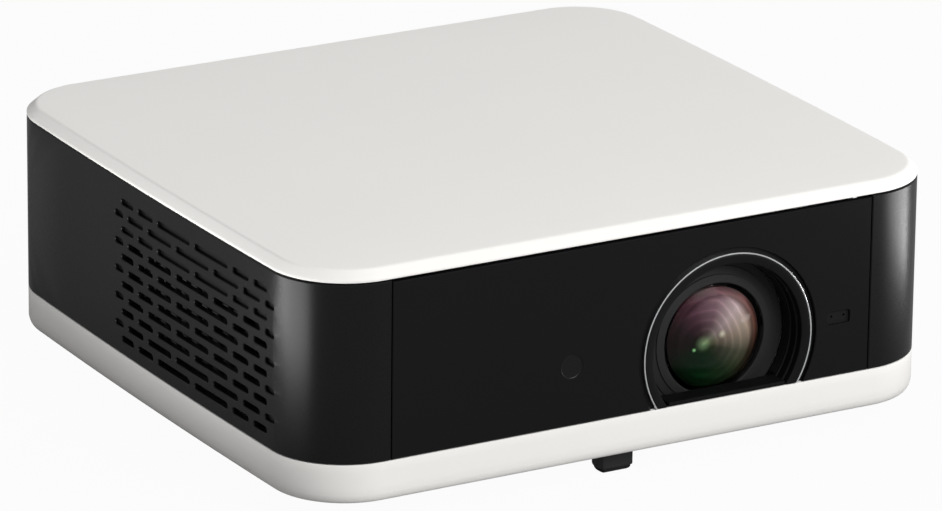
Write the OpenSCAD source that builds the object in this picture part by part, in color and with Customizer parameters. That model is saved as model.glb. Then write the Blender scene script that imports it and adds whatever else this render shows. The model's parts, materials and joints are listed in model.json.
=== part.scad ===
// Home projector: a flat, square-plan projector with its lens in the right half of the front.
// Frame: +Z up, the front faces -Y, +X is to the right seen from the front.
// The origin is under the middle of the body, on the surface that the feet stand on.

/* [Body] */
// Overall width, across the widest part of the bowed side walls
body_w = 264; // [240:1:320]
// Overall depth, front face to rear face
body_d = 242.5; // [225:0.5:300]
// Outward bow of each side wall between its corners
side_bow = 1.2; // [0.8:0.1:3]
// Plan radius of the four upright corners
corner_r = 29; // [24:1:36]
// Height of the underside above the surface
foot_h = 11; // [8:0.5:16]
// Height of the tray's outer wall
tray_h = 14.8; // [12:0.2:18]
// Height of the dark band between the tray and the cover
band_h = 66.5; // [64:0.5:90]
// Height of the cover at its rim
cover_h = 4.6; // [3.6:0.1:7]
// Extra height of the cover's softly raised middle
crown_h = 0.8; // [0.2:0.1:2]
// Inward run of the cover's sloped rim
rim_run = 3.5; // [2:0.1:6]
// Inward run of the tray's rounded lower edge
tray_round = 2.4; // [1:0.1:5]

/* [Walls] */
// Wall of the tray, the band and the panels
wall = 2.5; // [2:0.1:3]
// Thickness of the tray's floor
floor_t = 2.5; // [2:0.1:4]
// Thickness of the cover's top plate
cover_t = 2.4; // [1.8:0.1:3]
// Visible joint line between the band and the cover
cover_gap = 0.6; // [0.3:0.1:1.2]
// Joint line between any other two shells
seam = 0.2; // [0.1:0.05:0.4]
// Play between a piece and the hole that it is dropped into
play = 0.1; // [0.05:0.01:0.2]
// Radial clearance where one piece turns or slides on another
run_fit = 0.06; // [0.03:0.01:0.1]

/* [Front] */
// Half-width of the front and the rear panel
panel_half = 98.3; // [92:0.1:99]
// Joint line between a panel and the band
panel_gap = 0.4; // [0.2:0.1:0.8]
// Sideways place of the lens axis
lens_x = 39; // [34:0.5:44]
// Height of the lens axis above the tray's top edge
lens_rise = 19; // [17:0.5:22]
// Radius of the hole in the front panel round the lens
aperture_r = 37; // [36:0.5:39]
// Outer radius of the bright trim ring
trim_r = 35.4; // [34.5:0.1:35.6]
// Width of the bright trim ring's front edge
trim_w = 0.9; // [0.6:0.1:1.4]
// Inner radius of the dark recess at its mouth
recess_r = 31; // [30:0.5:32]
// Depth of the recess behind the front face
recess_depth = 12; // [11:0.5:16]
// Radius of the front glass
glass_r = 20.5; // [18:0.1:21]
// Bulge of the front glass
glass_bulge = 5; // [3:0.5:7]
// Place of the round sensor window, sideways
sensor_x = -26; // [-60:1:-20]
// Height of the round sensor window above the lens axis
sensor_rise = 3.3; // [-5:0.1:20]
// Radius of the round sensor window
sensor_r = 4.6; // [3:0.1:6]
// Place of the rangefinder window, sideways
range_x = 85.4; // [82:0.1:88]
// Width and height of the rangefinder window
range_size = [9.8, 5.2]; // [4:0.1:12]

/* [Grilles] */
// Place of the side grilles along the depth, measured from the middle
grille_y = -34.6; // [-40:0.1:-25]
// Drop from the band's top edge to the first row of slots
grille_drop = 7.9; // [7:0.1:10]
// Height between rows
row_pitch = 5.24; // [4.6:0.01:5.4]
// Height of a slot
slot_h = 3; // [2:0.1:3.6]
// Space between two slots of a row
slot_space = 3.2; // [2.5:0.1:4]
// Number of rows
grille_rows = 11; // [7:1:11]
// Rows at the top that are only shallow pockets
blind_rows = 3; // [0:1:5]
// Depth of a shallow pocket
blind_depth = 1.4; // [0.8:0.1:1.8]

/* [Focus drive] */
// Number of teeth on the focus ring
ring_teeth = 56; // [48:1:60]
// Number of teeth on the motor's pinion
pinion_teeth = 14; // [12:1:18]
// Tooth module
tooth_module = 1; // [0.9:0.05:1.1]
// Sliding travel of the focusing cell
focus_travel = 5; // [3:0.5:6]

/* [Fans] */
// Side of the square fan frames
fan_size = 60; // [50:1:62]
// Thickness of the fan frames
fan_t = 15; // [12:0.5:18]
// Number of blades
fan_blades = 9; // [5:1:11]

/* [Front foot] */
// Radius of the front foot's post
foot_r = 7.3; // [6:0.1:9]
// Distance from the front face to the foot's flat side
foot_setback = 10.3; // [8:0.1:14]
// Distance that the foot can be drawn out
foot_travel = 8; // [5:0.5:9]

/* [Hidden] */
$fn = 48;
eps = 0.01;

// Plan of the body: corner circles tangent to flat ends and to large side arcs
front_y = -body_d / 2;
rear_y = body_d / 2;
corner_cx = body_w / 2 - side_bow - corner_r;
corner_cy = body_d / 2 - corner_r;
side_u = (side_bow * side_bow + corner_cy * corner_cy) / (2 * side_bow);
side_r = side_u + corner_r;
side_cx = body_w / 2 - side_r;
side_facets = 1440;

// Levels
z_floor = foot_h + floor_t;
z_seam = foot_h + tray_h;
z_band_top = z_seam + band_h;
z_cover = z_band_top + cover_gap;
z_rim_top = z_band_top + cover_h;
z_top = z_rim_top + crown_h;
tray_edge_h = 3;
tray_ledge = 0.12;

// Long case screws in the four corner posts
post_r = 5;
post_out = (corner_r - wall - post_r + 0.6) / sqrt(2);
post_x = corner_cx + post_out;
post_y = corner_cy + post_out;
case_screw_r = 1.5;
case_head_r = 3;
case_head_h = 2.4;

// Lens axis and the pieces along it
lens_z = z_seam + lens_rise;
recess_floor = z_seam + seam;
ledge_t = 1.5;
ledge_depth = 8;
panel_back = front_y + wall;
bezel_y = front_y + recess_depth;
glass_y = front_y + recess_depth - 1.75;
barrel_r = 24;
barrel_bore = glass_r + 0.5;
barrel_front = bezel_y + 1.5;
barrel_step = bezel_y + 49;
barrel_end = bezel_y + 80;
tail_r = 20;
tail_bore = 17;
ring_y = bezel_y + 21;
ring_w = 11;
ring_pitch_r = ring_teeth * tooth_module / 2;
pinion_pitch_r = pinion_teeth * tooth_module / 2;
drive_gap = 0.15;
drive_dist = ring_pitch_r + pinion_pitch_r + drive_gap;
drive_angle = 40;
cell_y = ring_y - 1;
cell_l = 10;
cell_pin_r = 1.2;
motor_r = 8;
motor_l = 20;
motor_shaft_r = 1;
bracket_t = 2;
bracket_y = ring_y + ring_w + 4;

// Fans stand behind the grilles
grille_z = z_band_top - grille_drop - row_pitch * (grille_rows - 1) / 2;
fan_x = body_w / 2 - wall - 6.2 - fan_t;
fan_hub_r = 12;
fan_hole_r = fan_size / 2 - 1.5;
fan_pin_r = 1.5;
rotor_w = fan_t - 4;
filter_t = 4;
filter_l = 112;
filter_h = 52;
cradle_t = 2;

// Light engine between the barrel and the heat sink
sink_w = 20;
sink_x = fan_x - sink_w - 0.2;
sink_l = 58;
fin_t = 1;
fin_count = 20;
pipe_r = 3;
pipe_rows = 3;
pipe_pitch = 12;
engine_x0 = lens_x - 38;
engine_x1 = sink_x - 0.2;
engine_y0 = barrel_end - 6;
engine_l = 70;
engine_z0 = z_floor + 6;
engine_h = 50;
engine_wall = 2.5;
lid_t = 2.5;
prism = 24;
prism_y = engine_y0 + 32;
image_t = 3;
light_y0 = grille_y + sink_l / 2 + 8;
light_l = 36;
light_h = 40;

// Speakers in the rear corners
speaker_x = panel_half - 20.5;
speaker_w = 48;
speaker_d = 50;
speaker_h = 58;
speaker_t = 2;
speaker_z0 = z_floor + 3;
speaker_y1 = rear_y - wall - 4;
cone_r = 20;
cone_z = speaker_z0 + speaker_h / 2;

// Boards
board_t = 1.6;
main_half = 50;
main_d = 61;
main_z = z_floor + 30.5;
main_y1 = rear_y - wall - 1.7;
main_y0 = main_y1 - main_d;
power_x0 = -fan_x + 7;
power_x1 = engine_x0 - 12;
power_y0 = grille_y - 35;
power_d = 110;
power_z = z_floor + 8.5;
stand_r = 4;
stand_inset = 6;
board_screw_r = 1.5;

// Sockets on the rear panel
socket_face = rear_y - 0.6;
hdmi_x = -8;
usb_x = 14;
jack_x = 34;
jack_r = 1.75;
jack_l = 14;
jack_body = [8, 15, 6.4];
inlet_x = -24;
inlet_z = z_seam + 8.6;
button_x = -32;
button_z = main_z + 9;
button_r = 4.8;
button_gap = 0.3;
button_travel = 1;
button_l = 6.8;
switch_t = 3;
status_x = button_x - 13;
status_r = 1.2;

// Feet and mounts
foot_y = front_y + foot_setback + sqrt(foot_r * foot_r - 36);
foot_post_z = 2.2;
foot_pad_h = 2.2;
guide_top = z_seam - 0.4;
guide_wall = 2.2;
rear_foot_r = 10;
rear_foot_x = corner_cx - 12;
rear_foot_y = corner_cy - 4;
foot_spigot = 3;
mount_half = 50;
insert_r = 3;
m4_r = 2;
tripod_bore_r = 3.2;
tripod_r = 5;
insert_l = 7;
tripod_l = 6.8;
boss_wall = 2.5;

function side_face(y) = side_cx + sqrt(side_r * side_r - y * y);

module outline(inset = 0) {
  square([2 * corner_cx, body_d - 2 * inset], center = true);
  for (sx = [-1, 1], sy = [-1, 1])
    translate([sx * corner_cx, sy * corner_cy]) circle(r = corner_r - inset, $fn = 96);
  for (sx = [-1, 1])
    intersection() {
      translate([sx * side_cx, 0]) circle(r = side_r - inset, $fn = side_facets);
      translate([sx * body_w / 4, 0])
        square([body_w / 2, 2 * corner_cy * side_r / side_u], center = true);
    }
}

// A coarser plan for the blended edges
module soft_outline(inset) {
  for (sx = [-1, 1], sy = [-1, 1])
    translate([sx * corner_cx, sy * corner_cy]) circle(r = corner_r - inset, $fn = 64);
  for (sx = [-1, 1], k = [-2 : 2])
    translate([sx * (side_face(k * corner_cy / 3) - inset - 1), k * corner_cy / 3])
      circle(r = 1, $fn = 32);
}

module slab(z, h, inset) {
  translate([0, 0, z]) linear_extrude(h) outline(inset);
}

module soft_slab(z, inset) {
  translate([0, 0, z]) linear_extrude(eps) soft_outline(inset);
}

module at_posts() {
  for (sx = [-1, 1], sy = [-1, 1]) translate([sx * post_x, sy * post_y, 0]) children();
}

module at_main_stands() {
  for (sx = [-1, 1], y = [main_y0 + stand_inset, main_y1 - stand_inset - 4])
    translate([sx * (main_half - stand_inset), y, 0]) children();
}

module at_power_stands() {
  for (x = [power_x0 + stand_inset, power_x1 - stand_inset],
       y = [power_y0 + stand_inset, power_y0 + power_d - stand_inset])
    translate([x, y, 0]) children();
}

module at_engine_stands() {
  for (x = [engine_x0 + 9, engine_x1 - 9], y = [engine_y0 + 9, engine_y0 + engine_l - 9])
    translate([x, y, 0]) children();
}

module at_mounts() {
  for (sx = [-1, 1], sy = [-1, 1])
    translate([sx * mount_half, sy * mount_half, 0]) children();
}

// A cylinder along Y from y to y + l
module rod_y(r, y, l, x = lens_x, z = lens_z) {
  translate([x, y + l, z]) rotate([90, 0, 0]) cylinder(r = r, h = l);
}

// A profile in radius and depth, turned about the lens axis; depth runs to the rear
module turned() {
  translate([lens_x, front_y, lens_z]) rotate([-90, 0, 0]) rotate_extrude($fn = 96) children();
}

// Everything under the lens recess, down to the tray's top edge
module under_recess(level) {
  translate([lens_x - 60, front_y - 10, level - 60]) cube([120, 60, 60]);
}

module foot_plan(grow) {
  intersection() {
    circle(r = foot_r + grow, $fn = 64);
    translate([-2 * foot_r, front_y + foot_setback - grow - foot_y])
      square([4 * foot_r, 4 * foot_r]);
  }
}

module rounded_plate(size, r, t) {
  linear_extrude(t) {
    square([size[0] - 2 * r, size[1]], center = true);
    square([size[0], size[1] - 2 * r], center = true);
    for (sx = [-1, 1], sy = [-1, 1])
      translate([sx * (size[0] / 2 - r), sy * (size[1] / 2 - r)]) circle(r = r, $fn = 32);
  }
}

// A rounded plate standing in the XZ plane, its front at y, running t to the rear
module upright_plate(x, y, z, size, r, t) {
  translate([x, y + t, z]) rotate([90, 0, 0]) rounded_plate(size, r, t);
}

// A slot with round ends, along X, as thick as t
module slot_plate(l, h, t) {
  linear_extrude(t) {
    square([l - h, h], center = true);
    for (s = [-1, 1]) translate([s * (l - h) / 2, 0]) circle(r = h / 2, $fn = 24);
  }
}

// Slots of one row: each entry is a slot's middle and length. Even rows start with a slot each
// side of the middle, and odd rows with one slot on the middle.
wide_slot = 25;
even_lengths = [wide_slot, 12, 10];
odd_lengths = [wide_slot, 18.5, 12.5, 7];
function reach(lengths, i, start) =
  i < 0 ? start : reach(lengths, i - 1, start) + lengths[i] + slot_space;
function even_slot(i) =
  [reach(even_lengths, i - 1, slot_space / 2) + even_lengths[i] / 2, even_lengths[i]];
function odd_slot(i) =
  i == 0 ? [0, wide_slot]
         : [reach(odd_lengths, i - 1, -wide_slot / 2) + odd_lengths[i] / 2, odd_lengths[i]];
function row_slots(odd) = odd
  ? concat([odd_slot(0)], [for (i = [1 : 3], s = [-1, 1]) [s * odd_slot(i)[0], odd_slot(i)[1]]])
  : [for (i = [0 : 2], s = [-1, 1]) [s * even_slot(i)[0], even_slot(i)[1]]];

module side_slots() {
  for (row = [0 : grille_rows - 1], slot = row_slots(row % 2 == 1)) {
    y = grille_y + slot[0];
    z = z_band_top - grille_drop - row * row_pitch;
    blind = row < blind_rows || slot[1] < 8;
    depth = blind ? blind_depth : wall + 3;
    translate([side_face(y) - depth, y, z]) rotate([90, 0, 90])
      slot_plate(slot[1], slot_h, wall + 6);
  }
}

module band_half() {
  difference() {
    union() {
      intersection() {
        difference() {
          slab(z_seam + seam, band_h - seam, 0);
          slab(z_seam, band_h + 1, wall);
        }
        translate([panel_half + panel_gap, -body_d, z_seam])
          cube([body_w, 2 * body_d, band_h]);
      }
      for (sy = [-1, 1])
        translate([post_x, sy * post_y, z_seam + seam]) cylinder(r = post_r, h = band_h - seam);
      for (sy = [-1, 1])
        translate([panel_half - 5, sy * (rear_y - wall - 1) - 1, z_seam + seam])
          cube([5 + corner_cx - panel_half, 2, band_h - seam]);
    }
    for (sy = [-1, 1])
      translate([post_x, sy * post_y, z_seam - 1])
        cylinder(r = case_screw_r + play, h = band_h + 2);
    side_slots();
  }
}

module base_tray() {
  color("#d9d7d1") difference() {
    union() {
      difference() {
        union() {
          hull() {
            soft_slab(foot_h, tray_round);
            soft_slab(foot_h + tray_edge_h / 2, tray_round / 4);
            soft_slab(foot_h + tray_edge_h, tray_ledge);
          }
          slab(foot_h + tray_edge_h, tray_h - tray_edge_h, 0);
        }
        slab(z_floor, tray_h, wall);
      }
      at_posts() translate([0, 0, z_floor - eps])
        cylinder(r = post_r, h = z_seam - z_floor + eps);
      at_main_stands() translate([0, 0, z_floor - eps])
        cylinder(r = stand_r, h = main_z - z_floor + eps);
      at_power_stands() translate([0, 0, z_floor - eps])
        cylinder(r = stand_r, h = power_z - z_floor + eps);
      at_engine_stands() translate([0, 0, z_floor - eps])
        cylinder(r = stand_r, h = engine_z0 - z_floor + eps);
      at_mounts() translate([0, 0, z_floor - eps])
        cylinder(r = insert_r + boss_wall, h = foot_h + insert_l - z_floor + 1.5);
      translate([0, 0, z_floor - eps])
        cylinder(r = tripod_r + boss_wall, h = foot_h + tripod_l - z_floor + 0.6);
      for (s = [-1, 1], dy = [-fan_size / 3, fan_size / 3])
        translate([s * (fan_x + fan_t / 2) - fan_t / 2, grille_y + dy, z_floor - eps])
          cube([fan_t, cradle_t, grille_z - fan_size / 2 - z_floor + eps]);
      for (dy = [-fan_size / 3, fan_size / 3])
        translate([-fan_x - fan_t - filter_t, grille_y + dy, z_floor - eps])
          cube([filter_t, cradle_t, grille_z - filter_h / 2 - z_floor + eps]);
      for (s = [-1, 1], dx = [-speaker_w / 3, speaker_w / 3 - cradle_t])
        translate([s * speaker_x + dx, speaker_y1 - speaker_d + 2, z_floor - eps])
          cube([cradle_t, speaker_d - 4, speaker_z0 - z_floor + eps]);
      for (dy = [-sink_l / 3, sink_l / 3])
        translate([sink_x + 1, grille_y + dy, z_floor - eps])
          cube([sink_w - 2, cradle_t, grille_z - sink_l / 2 - z_floor + eps]);
      for (s = [-1, 1])
        translate([s * rear_foot_x, rear_foot_y, z_floor - eps])
          cylinder(r = rear_foot_r - 2, h = foot_spigot + eps);
    }
    at_posts() translate([0, 0, foot_h - 1]) {
      cylinder(r = case_screw_r + play, h = tray_h + 2);
      cylinder(r = case_head_r + play, h = 1 + case_head_h + 2);
    }
    at_main_stands() translate([0, 0, main_z - 8]) cylinder(r = board_screw_r + play, h = 9);
    at_power_stands() translate([0, 0, power_z - 8]) cylinder(r = board_screw_r + play, h = 9);
    at_mounts() translate([0, 0, foot_h - 1]) cylinder(r = insert_r + play, h = insert_l + 1);
    translate([0, 0, foot_h - 1]) cylinder(r = tripod_r + play, h = tripod_l + 1);
    for (s = [-1, 1])
      translate([s * rear_foot_x, rear_foot_y, foot_h - 1])
        cylinder(r = rear_foot_r - 5 + play, h = foot_spigot + 1);
    translate([0, foot_y, foot_h - 1]) linear_extrude(floor_t + 2) foot_plan(0.4);
    translate([lens_x - 32, front_y + wall - 1, z_seam - 0.5]) cube([64, 1.2, 1]);
  }
}

module side_band_right() {
  color("#2a2b2d") band_half();
}

module side_band_left() {
  color("#2a2b2d") mirror([1, 0, 0]) band_half();
}

module top_cover() {
  color("#e3e2de") difference() {
    hull() {
      soft_slab(z_cover, 0);
      soft_slab(z_rim_top, rim_run);
      soft_slab(z_top - eps, 45);
    }
    slab(z_cover - 1, z_rim_top - cover_t - z_cover + 1, wall + rim_run);
    at_posts() translate([0, 0, z_cover - 1])
      cylinder(r = case_screw_r + play, h = 1 + cover_h - cover_gap - 1.5);
  }
}

module front_panel() {
  color("#1b1b1d") difference() {
    translate([-panel_half, front_y, z_seam + seam])
      cube([2 * panel_half, wall, band_h - seam - cover_gap]);
    rod_y(aperture_r, front_y - 1, wall + 2);
    rod_y(sensor_r + play, front_y - 1, wall + 2, sensor_x, lens_z + sensor_rise);
    upright_plate(range_x, front_y - 1, lens_z + sensor_rise,
      [range_size[0] + 2 * play, range_size[1] + 2 * play], 1, wall + 2);
  }
}

rear_rows = 7;
rear_slot = 15;

module rear_slots() {
  for (s = [-1, 1], row = [0 : rear_rows - 1]) {
    odd = row % 2 == 1;
    starts = odd ? [0] : [-(rear_slot + slot_space) / 2, (rear_slot + slot_space) / 2];
    for (dx = starts)
      translate([s * speaker_x + dx, rear_y + 1, cone_z + (row - (rear_rows - 1) / 2) * row_pitch])
        rotate([90, 0, 0]) slot_plate(rear_slot + (odd ? 4 : 0), slot_h, wall + 2);
  }
}

module socket_hole(x, z, w, h) {
  translate([x - w / 2, rear_y - wall - 1, z - h / 2]) cube([w, wall + 2, h]);
}

hdmi_size = [15.4, 6.6];
usb_size = [14, 7];
inlet_size = [19, 10.6];
socket_l = 14;
socket_wall = 0.5;
hdmi_z = main_z + board_t + hdmi_size[1] / 2;
usb_z = main_z + board_t + usb_size[1] / 2;
jack_z = main_z + board_t + jack_body[2] / 2;

module rear_panel() {
  color("#1f2022") difference() {
    translate([-panel_half, rear_y - wall, z_seam + seam])
      cube([2 * panel_half, wall, band_h - seam - cover_gap]);
    rear_slots();
    socket_hole(hdmi_x, hdmi_z, hdmi_size[0] + 2 * play, hdmi_size[1] + 2 * play);
    socket_hole(usb_x, usb_z, usb_size[0] + 2 * play, usb_size[1] + 2 * play);
    socket_hole(jack_x, jack_z, jack_body[0] + 2 * play, jack_body[2] + 2 * play);
    socket_hole(inlet_x, inlet_z, inlet_size[0] + 2 * play, inlet_size[1] + 2 * play);
    rod_y(button_r + button_gap, rear_y - wall - 1, wall + 2, button_x, button_z);
    rod_y(status_r + play, rear_y - wall - 1, wall + 2, status_x, button_z);
  }
}

module lens_trim_ring() {
  color("#dfe0e2") difference() {
    turned() translate([trim_r - trim_w, 0.05]) square([trim_w, wall - 1.05]);
    under_recess(recess_floor);
  }
}

module lens_recess() {
  color("#151516") difference() {
    union() {
      difference() {
        turned() polygon([
          [recess_r, 0.1], [trim_r - trim_w - play, 0.1], [trim_r - trim_w - play, wall - 1],
          [aperture_r - play, wall - 1], [aperture_r - play, wall],
          [aperture_r + 3, wall], [aperture_r + 3, wall + 1.5],
          [recess_r + 2, wall + 1.5], [recess_r + 1, recess_depth],
          [recess_r - 1, recess_depth], [recess_r - 1, recess_depth - 6]]);
        under_recess(recess_floor);
      }
      intersection() {
        turned() translate([0, 0.1]) square([recess_r + 1, ledge_depth]);
        translate([lens_x - recess_r, front_y, recess_floor])
          cube([2 * recess_r, ledge_depth + 0.1, ledge_t]);
      }
    }
    translate([lens_x + recess_r - 4, front_y + 4, lens_z - 14]) cube([6, 4.2, 13]);
  }
}

module lens_bezel() {
  color("#38393b") difference() {
    turned() polygon([
      [recess_r - 1.3, recess_depth - 0.2], [recess_r - 1.3, recess_depth + 1.5],
      [glass_r + 0.3, recess_depth + 1.5], [glass_r + 0.3, recess_depth - 2.2],
      [glass_r + 3.6, recess_depth - 1.6], [glass_r + 3.6, recess_depth - 1.2],
      [glass_r + 6.6, recess_depth - 0.7], [glass_r + 6.6, recess_depth - 0.3]]);
    under_recess(recess_floor);
  }
}

module sensor_window() {
  color("#101012") rod_y(sensor_r, front_y + 0.05, wall - 0.05, sensor_x, lens_z + sensor_rise);
}

module rangefinder_window() {
  color("#232426") difference() {
    upright_plate(range_x, front_y + 0.9, lens_z + sensor_rise, range_size, 1, wall - 0.9);
    for (s = [-1, 1])
      rod_y(0.45, front_y - 1, wall, range_x + s * 2.6, lens_z + sensor_rise + 0.4);
  }
}

module camera_module() {
  color("#1d3b2a") {
    translate([sensor_x - 8, panel_back + 3, lens_z + sensor_rise - 7]) cube([16, 1.2, 14]);
    rod_y(5.2, panel_back, 3 + eps, sensor_x, lens_z + sensor_rise);
  }
}

module rangefinder_module() {
  color("#1d3b2a") {
    translate([range_x - 7, panel_back + 2.4, lens_z + sensor_rise - 6]) cube([14, 1.2, 12]);
    translate([range_x - 5.4, panel_back, lens_z + sensor_rise - 3.4]) cube([10.8, 2.4 + eps, 6.8]);
  }
}

module lens_barrel() {
  color("#26272a") difference() {
    union() {
      rod_y(barrel_r, barrel_front, barrel_step - barrel_front);
      rod_y(tail_r, barrel_step - eps, barrel_end - barrel_step + eps);
      difference() {
        rod_y(recess_r - 1.5, barrel_front, 2);
        under_recess(z_floor + 2);
      }
      rod_y(barrel_r + 2, ring_y + ring_w + 0.2, bracket_t);
      difference() {
        translate([lens_x, bracket_y, lens_z]) rotate([0, -drive_angle, 0])
          translate([0, 0, -5]) cube([drive_dist, bracket_t, 10]);
        rod_y(motor_shaft_r + 1, bracket_y - 1, bracket_t + 2, drive_x(), drive_z());
      }
      difference() {
        rod_y(motor_r, bracket_y, bracket_t, drive_x(), drive_z());
        rod_y(motor_shaft_r + 1, bracket_y - 1, bracket_t + 2, drive_x(), drive_z());
      }
    }
    rod_y(barrel_bore, barrel_front - 1, barrel_step - barrel_front - 1);
    rod_y(tail_bore, barrel_step - 5, barrel_end - barrel_step + 6);
    translate([lens_x - cell_pin_r - 0.3, cell_y + cell_l / 2 - cell_pin_r - 0.4, lens_z])
      cube([2 * cell_pin_r + 0.6, focus_travel + 2 * cell_pin_r + 0.8, barrel_r + 4]);
  }
}

function drive_x() = lens_x + drive_dist * cos(drive_angle);
function drive_z() = lens_z + drive_dist * sin(drive_angle);

// A lens: rim radius, edge thickness, front bulge and rear bulge, its front rim at y
module glass(r, edge, bulge, back, y) {
  front_ball = (r * r + bulge * bulge) / (2 * bulge);
  back_ball = (r * r + back * back) / (2 * back);
  rod_y(r, y, edge);
  intersection() {
    translate([lens_x, y + front_ball - bulge, lens_z]) rotate([90, 0, 0])
      sphere(r = front_ball, $fn = 360);
    rod_y(r, y - bulge - 1, bulge + 1 + eps);
  }
  intersection() {
    translate([lens_x, y + edge - back_ball + back, lens_z]) rotate([90, 0, 0])
      sphere(r = back_ball, $fn = 360);
    rod_y(r, y + edge - eps, back + 1);
  }
}

module front_lens() {
  color("#4a3a4a") {
    rod_y(barrel_bore - play, barrel_front + 0.1, 3);
    difference() {
      glass(glass_r, barrel_front - glass_y + 0.2, glass_bulge, 1, glass_y);
      rod_y(barrel_bore, barrel_front + 3, 10);
    }
  }
}

module rear_lens() {
  color("#b9c6cc") glass(tail_bore - play, 3, 2, 2, barrel_end - 12);
}

module gear_profile(teeth, root_out, tip_out, slack) {
  pitch_r = teeth * tooth_module / 2;
  root_r = pitch_r - root_out;
  tip_r = pitch_r + tip_out;
  half = 360 / teeth / 4 - slack;
  circle(r = root_r, $fn = 96);
  for (i = [0 : teeth - 1])
    rotate(i * 360 / teeth)
      polygon([
        [root_r - 0.4, -root_r * sin(half * 1.5)], [tip_r, -tip_r * sin(half * 0.55)],
        [tip_r, tip_r * sin(half * 0.55)], [root_r - 0.4, root_r * sin(half * 1.5)]]);
}

tooth_root = 1.2 * tooth_module;
tooth_tip = 0.85 * tooth_module;
ring_slack = 0.22;
pinion_slack = 0.9;

module focus_ring() {
  color("#3d3e42") difference() {
    translate([lens_x, ring_y + ring_w, lens_z]) rotate([90, 0, 0])
      linear_extrude(ring_w) rotate(drive_angle)
        gear_profile(ring_teeth, tooth_root, tooth_tip, ring_slack);
    rod_y(barrel_r + run_fit, ring_y - 1, ring_w + 2);
  }
}

module focus_pinion() {
  color("#d8d2c0") difference() {
    translate([drive_x(), ring_y + ring_w - 1, drive_z()]) rotate([90, 0, 0])
      linear_extrude(ring_w - 2) rotate(drive_angle + 180 + 180 / pinion_teeth)
        gear_profile(pinion_teeth, tooth_root, tooth_tip, pinion_slack);
    rod_y(motor_shaft_r + run_fit, ring_y - 1, ring_w + 2, drive_x(), drive_z());
  }
}

module focus_cell() {
  color("#303236") {
    difference() {
      rod_y(barrel_bore - run_fit, cell_y, cell_l);
      rod_y(tail_bore, cell_y - 1, cell_l + 2);
    }
    translate([lens_x, cell_y + cell_l / 2, lens_z + (tail_bore + barrel_bore) / 2])
      cylinder(r = cell_pin_r, h = barrel_r - 0.2 - (tail_bore + barrel_bore) / 2);
  }
}

module focus_lens() {
  color("#b9c6cc") glass(tail_bore - 0.02, 4, 1.8, 1.8, cell_y + 3);
}

module focus_motor() {
  color("#9aa0a4") {
    rod_y(motor_r, bracket_y + bracket_t, motor_l, drive_x(), drive_z());
    rod_y(motor_shaft_r, ring_y + 0.5, bracket_y + bracket_t - ring_y, drive_x(), drive_z());
  }
}

engine_top = engine_z0 + engine_h;

module engine_housing() {
  color("#46484c") difference() {
    union() {
      difference() {
        translate([engine_x0, engine_y0, engine_z0])
          cube([engine_x1 - engine_x0, engine_l, engine_h]);
        translate([engine_x0 + engine_wall, engine_y0 + engine_wall, engine_z0 + engine_wall])
          cube([engine_x1 - engine_x0 - 2 * engine_wall, engine_l - 2 * engine_wall, engine_h]);
      }
      for (x = [engine_x0 + 4, engine_x1 - 4], y = [engine_y0 + 4, engine_y0 + engine_l - 4])
        translate([x, y, engine_z0]) cylinder(r = 4, h = engine_h);
      translate([lens_x - prism / 2 - 6, prism_y - prism / 2 - 2, engine_z0 + 1])
        cube([prism + 12, prism + 8, lens_z - prism / 2 - engine_z0 - 1]);
    }
    rod_y(tail_r + play, engine_y0 - 1, engine_wall + 2);
    for (x = [engine_x0 + 4, engine_x1 - 4], y = [engine_y0 + 4, engine_y0 + engine_l - 4])
      translate([x, y, engine_top - 10]) cylinder(r = board_screw_r + play, h = 11);
  }
}

module engine_lid() {
  color("#505358") difference() {
    translate([engine_x0, engine_y0, engine_top])
      cube([engine_x1 - engine_x0, engine_l, lid_t]);
    for (x = [engine_x0 + 4, engine_x1 - 4], y = [engine_y0 + 4, engine_y0 + engine_l - 4])
      translate([x, y, engine_top - 1]) cylinder(r = board_screw_r + play, h = lid_t + 2);
  }
}

module prism_block() {
  color("#c9d6da") translate([lens_x - prism / 2, prism_y - prism / 2, lens_z - prism / 2])
    cube(prism);
}

module image_panels() {
  color("#2c5a86") {
    for (s = [-1, 1])
      translate([lens_x + s * (prism / 2 + 0.4 + image_t / 2) - image_t / 2,
                 prism_y - 10, lens_z - prism / 2])
        cube([image_t, 20, 22]);
    translate([lens_x - 10, prism_y + prism / 2 + 0.4, lens_z - prism / 2])
      cube([20, image_t, 22]);
  }
}

pipe_x = sink_x + sink_w / 2;
light_y1 = light_y0 + light_l;

module light_source() {
  color("#6b5a3a") difference() {
    translate([sink_x + 0.2, light_y0, grille_z - light_h / 2])
      cube([sink_w - 0.4, light_l, light_h]);
    pipes(pipe_r + play);
  }
}

module pipes(r) {
  for (k = [0 : pipe_rows - 1])
    rod_y(r, grille_y - sink_l / 2 + 3, light_y1 - 3 - grille_y + sink_l / 2 - 3, pipe_x,
      grille_z + (k - (pipe_rows - 1) / 2) * pipe_pitch);
}

module heat_sink() {
  color("#b4b8bc") difference() {
    union() {
      translate([sink_x, grille_y - sink_l / 2, grille_z - sink_l / 2])
        cube([1.6, sink_l, sink_l]);
      for (k = [0 : fin_count - 1])
        translate([sink_x, grille_y - sink_l / 2 + k * (sink_l - fin_t) / (fin_count - 1),
                   grille_z - sink_l / 2])
          cube([sink_w, fin_t, sink_l]);
    }
    translate([0, -4, 0]) pipes(pipe_r + play);
    pipes(pipe_r + play);
  }
}

module heat_pipes() {
  color("#b87345") pipes(pipe_r);
}

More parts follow.
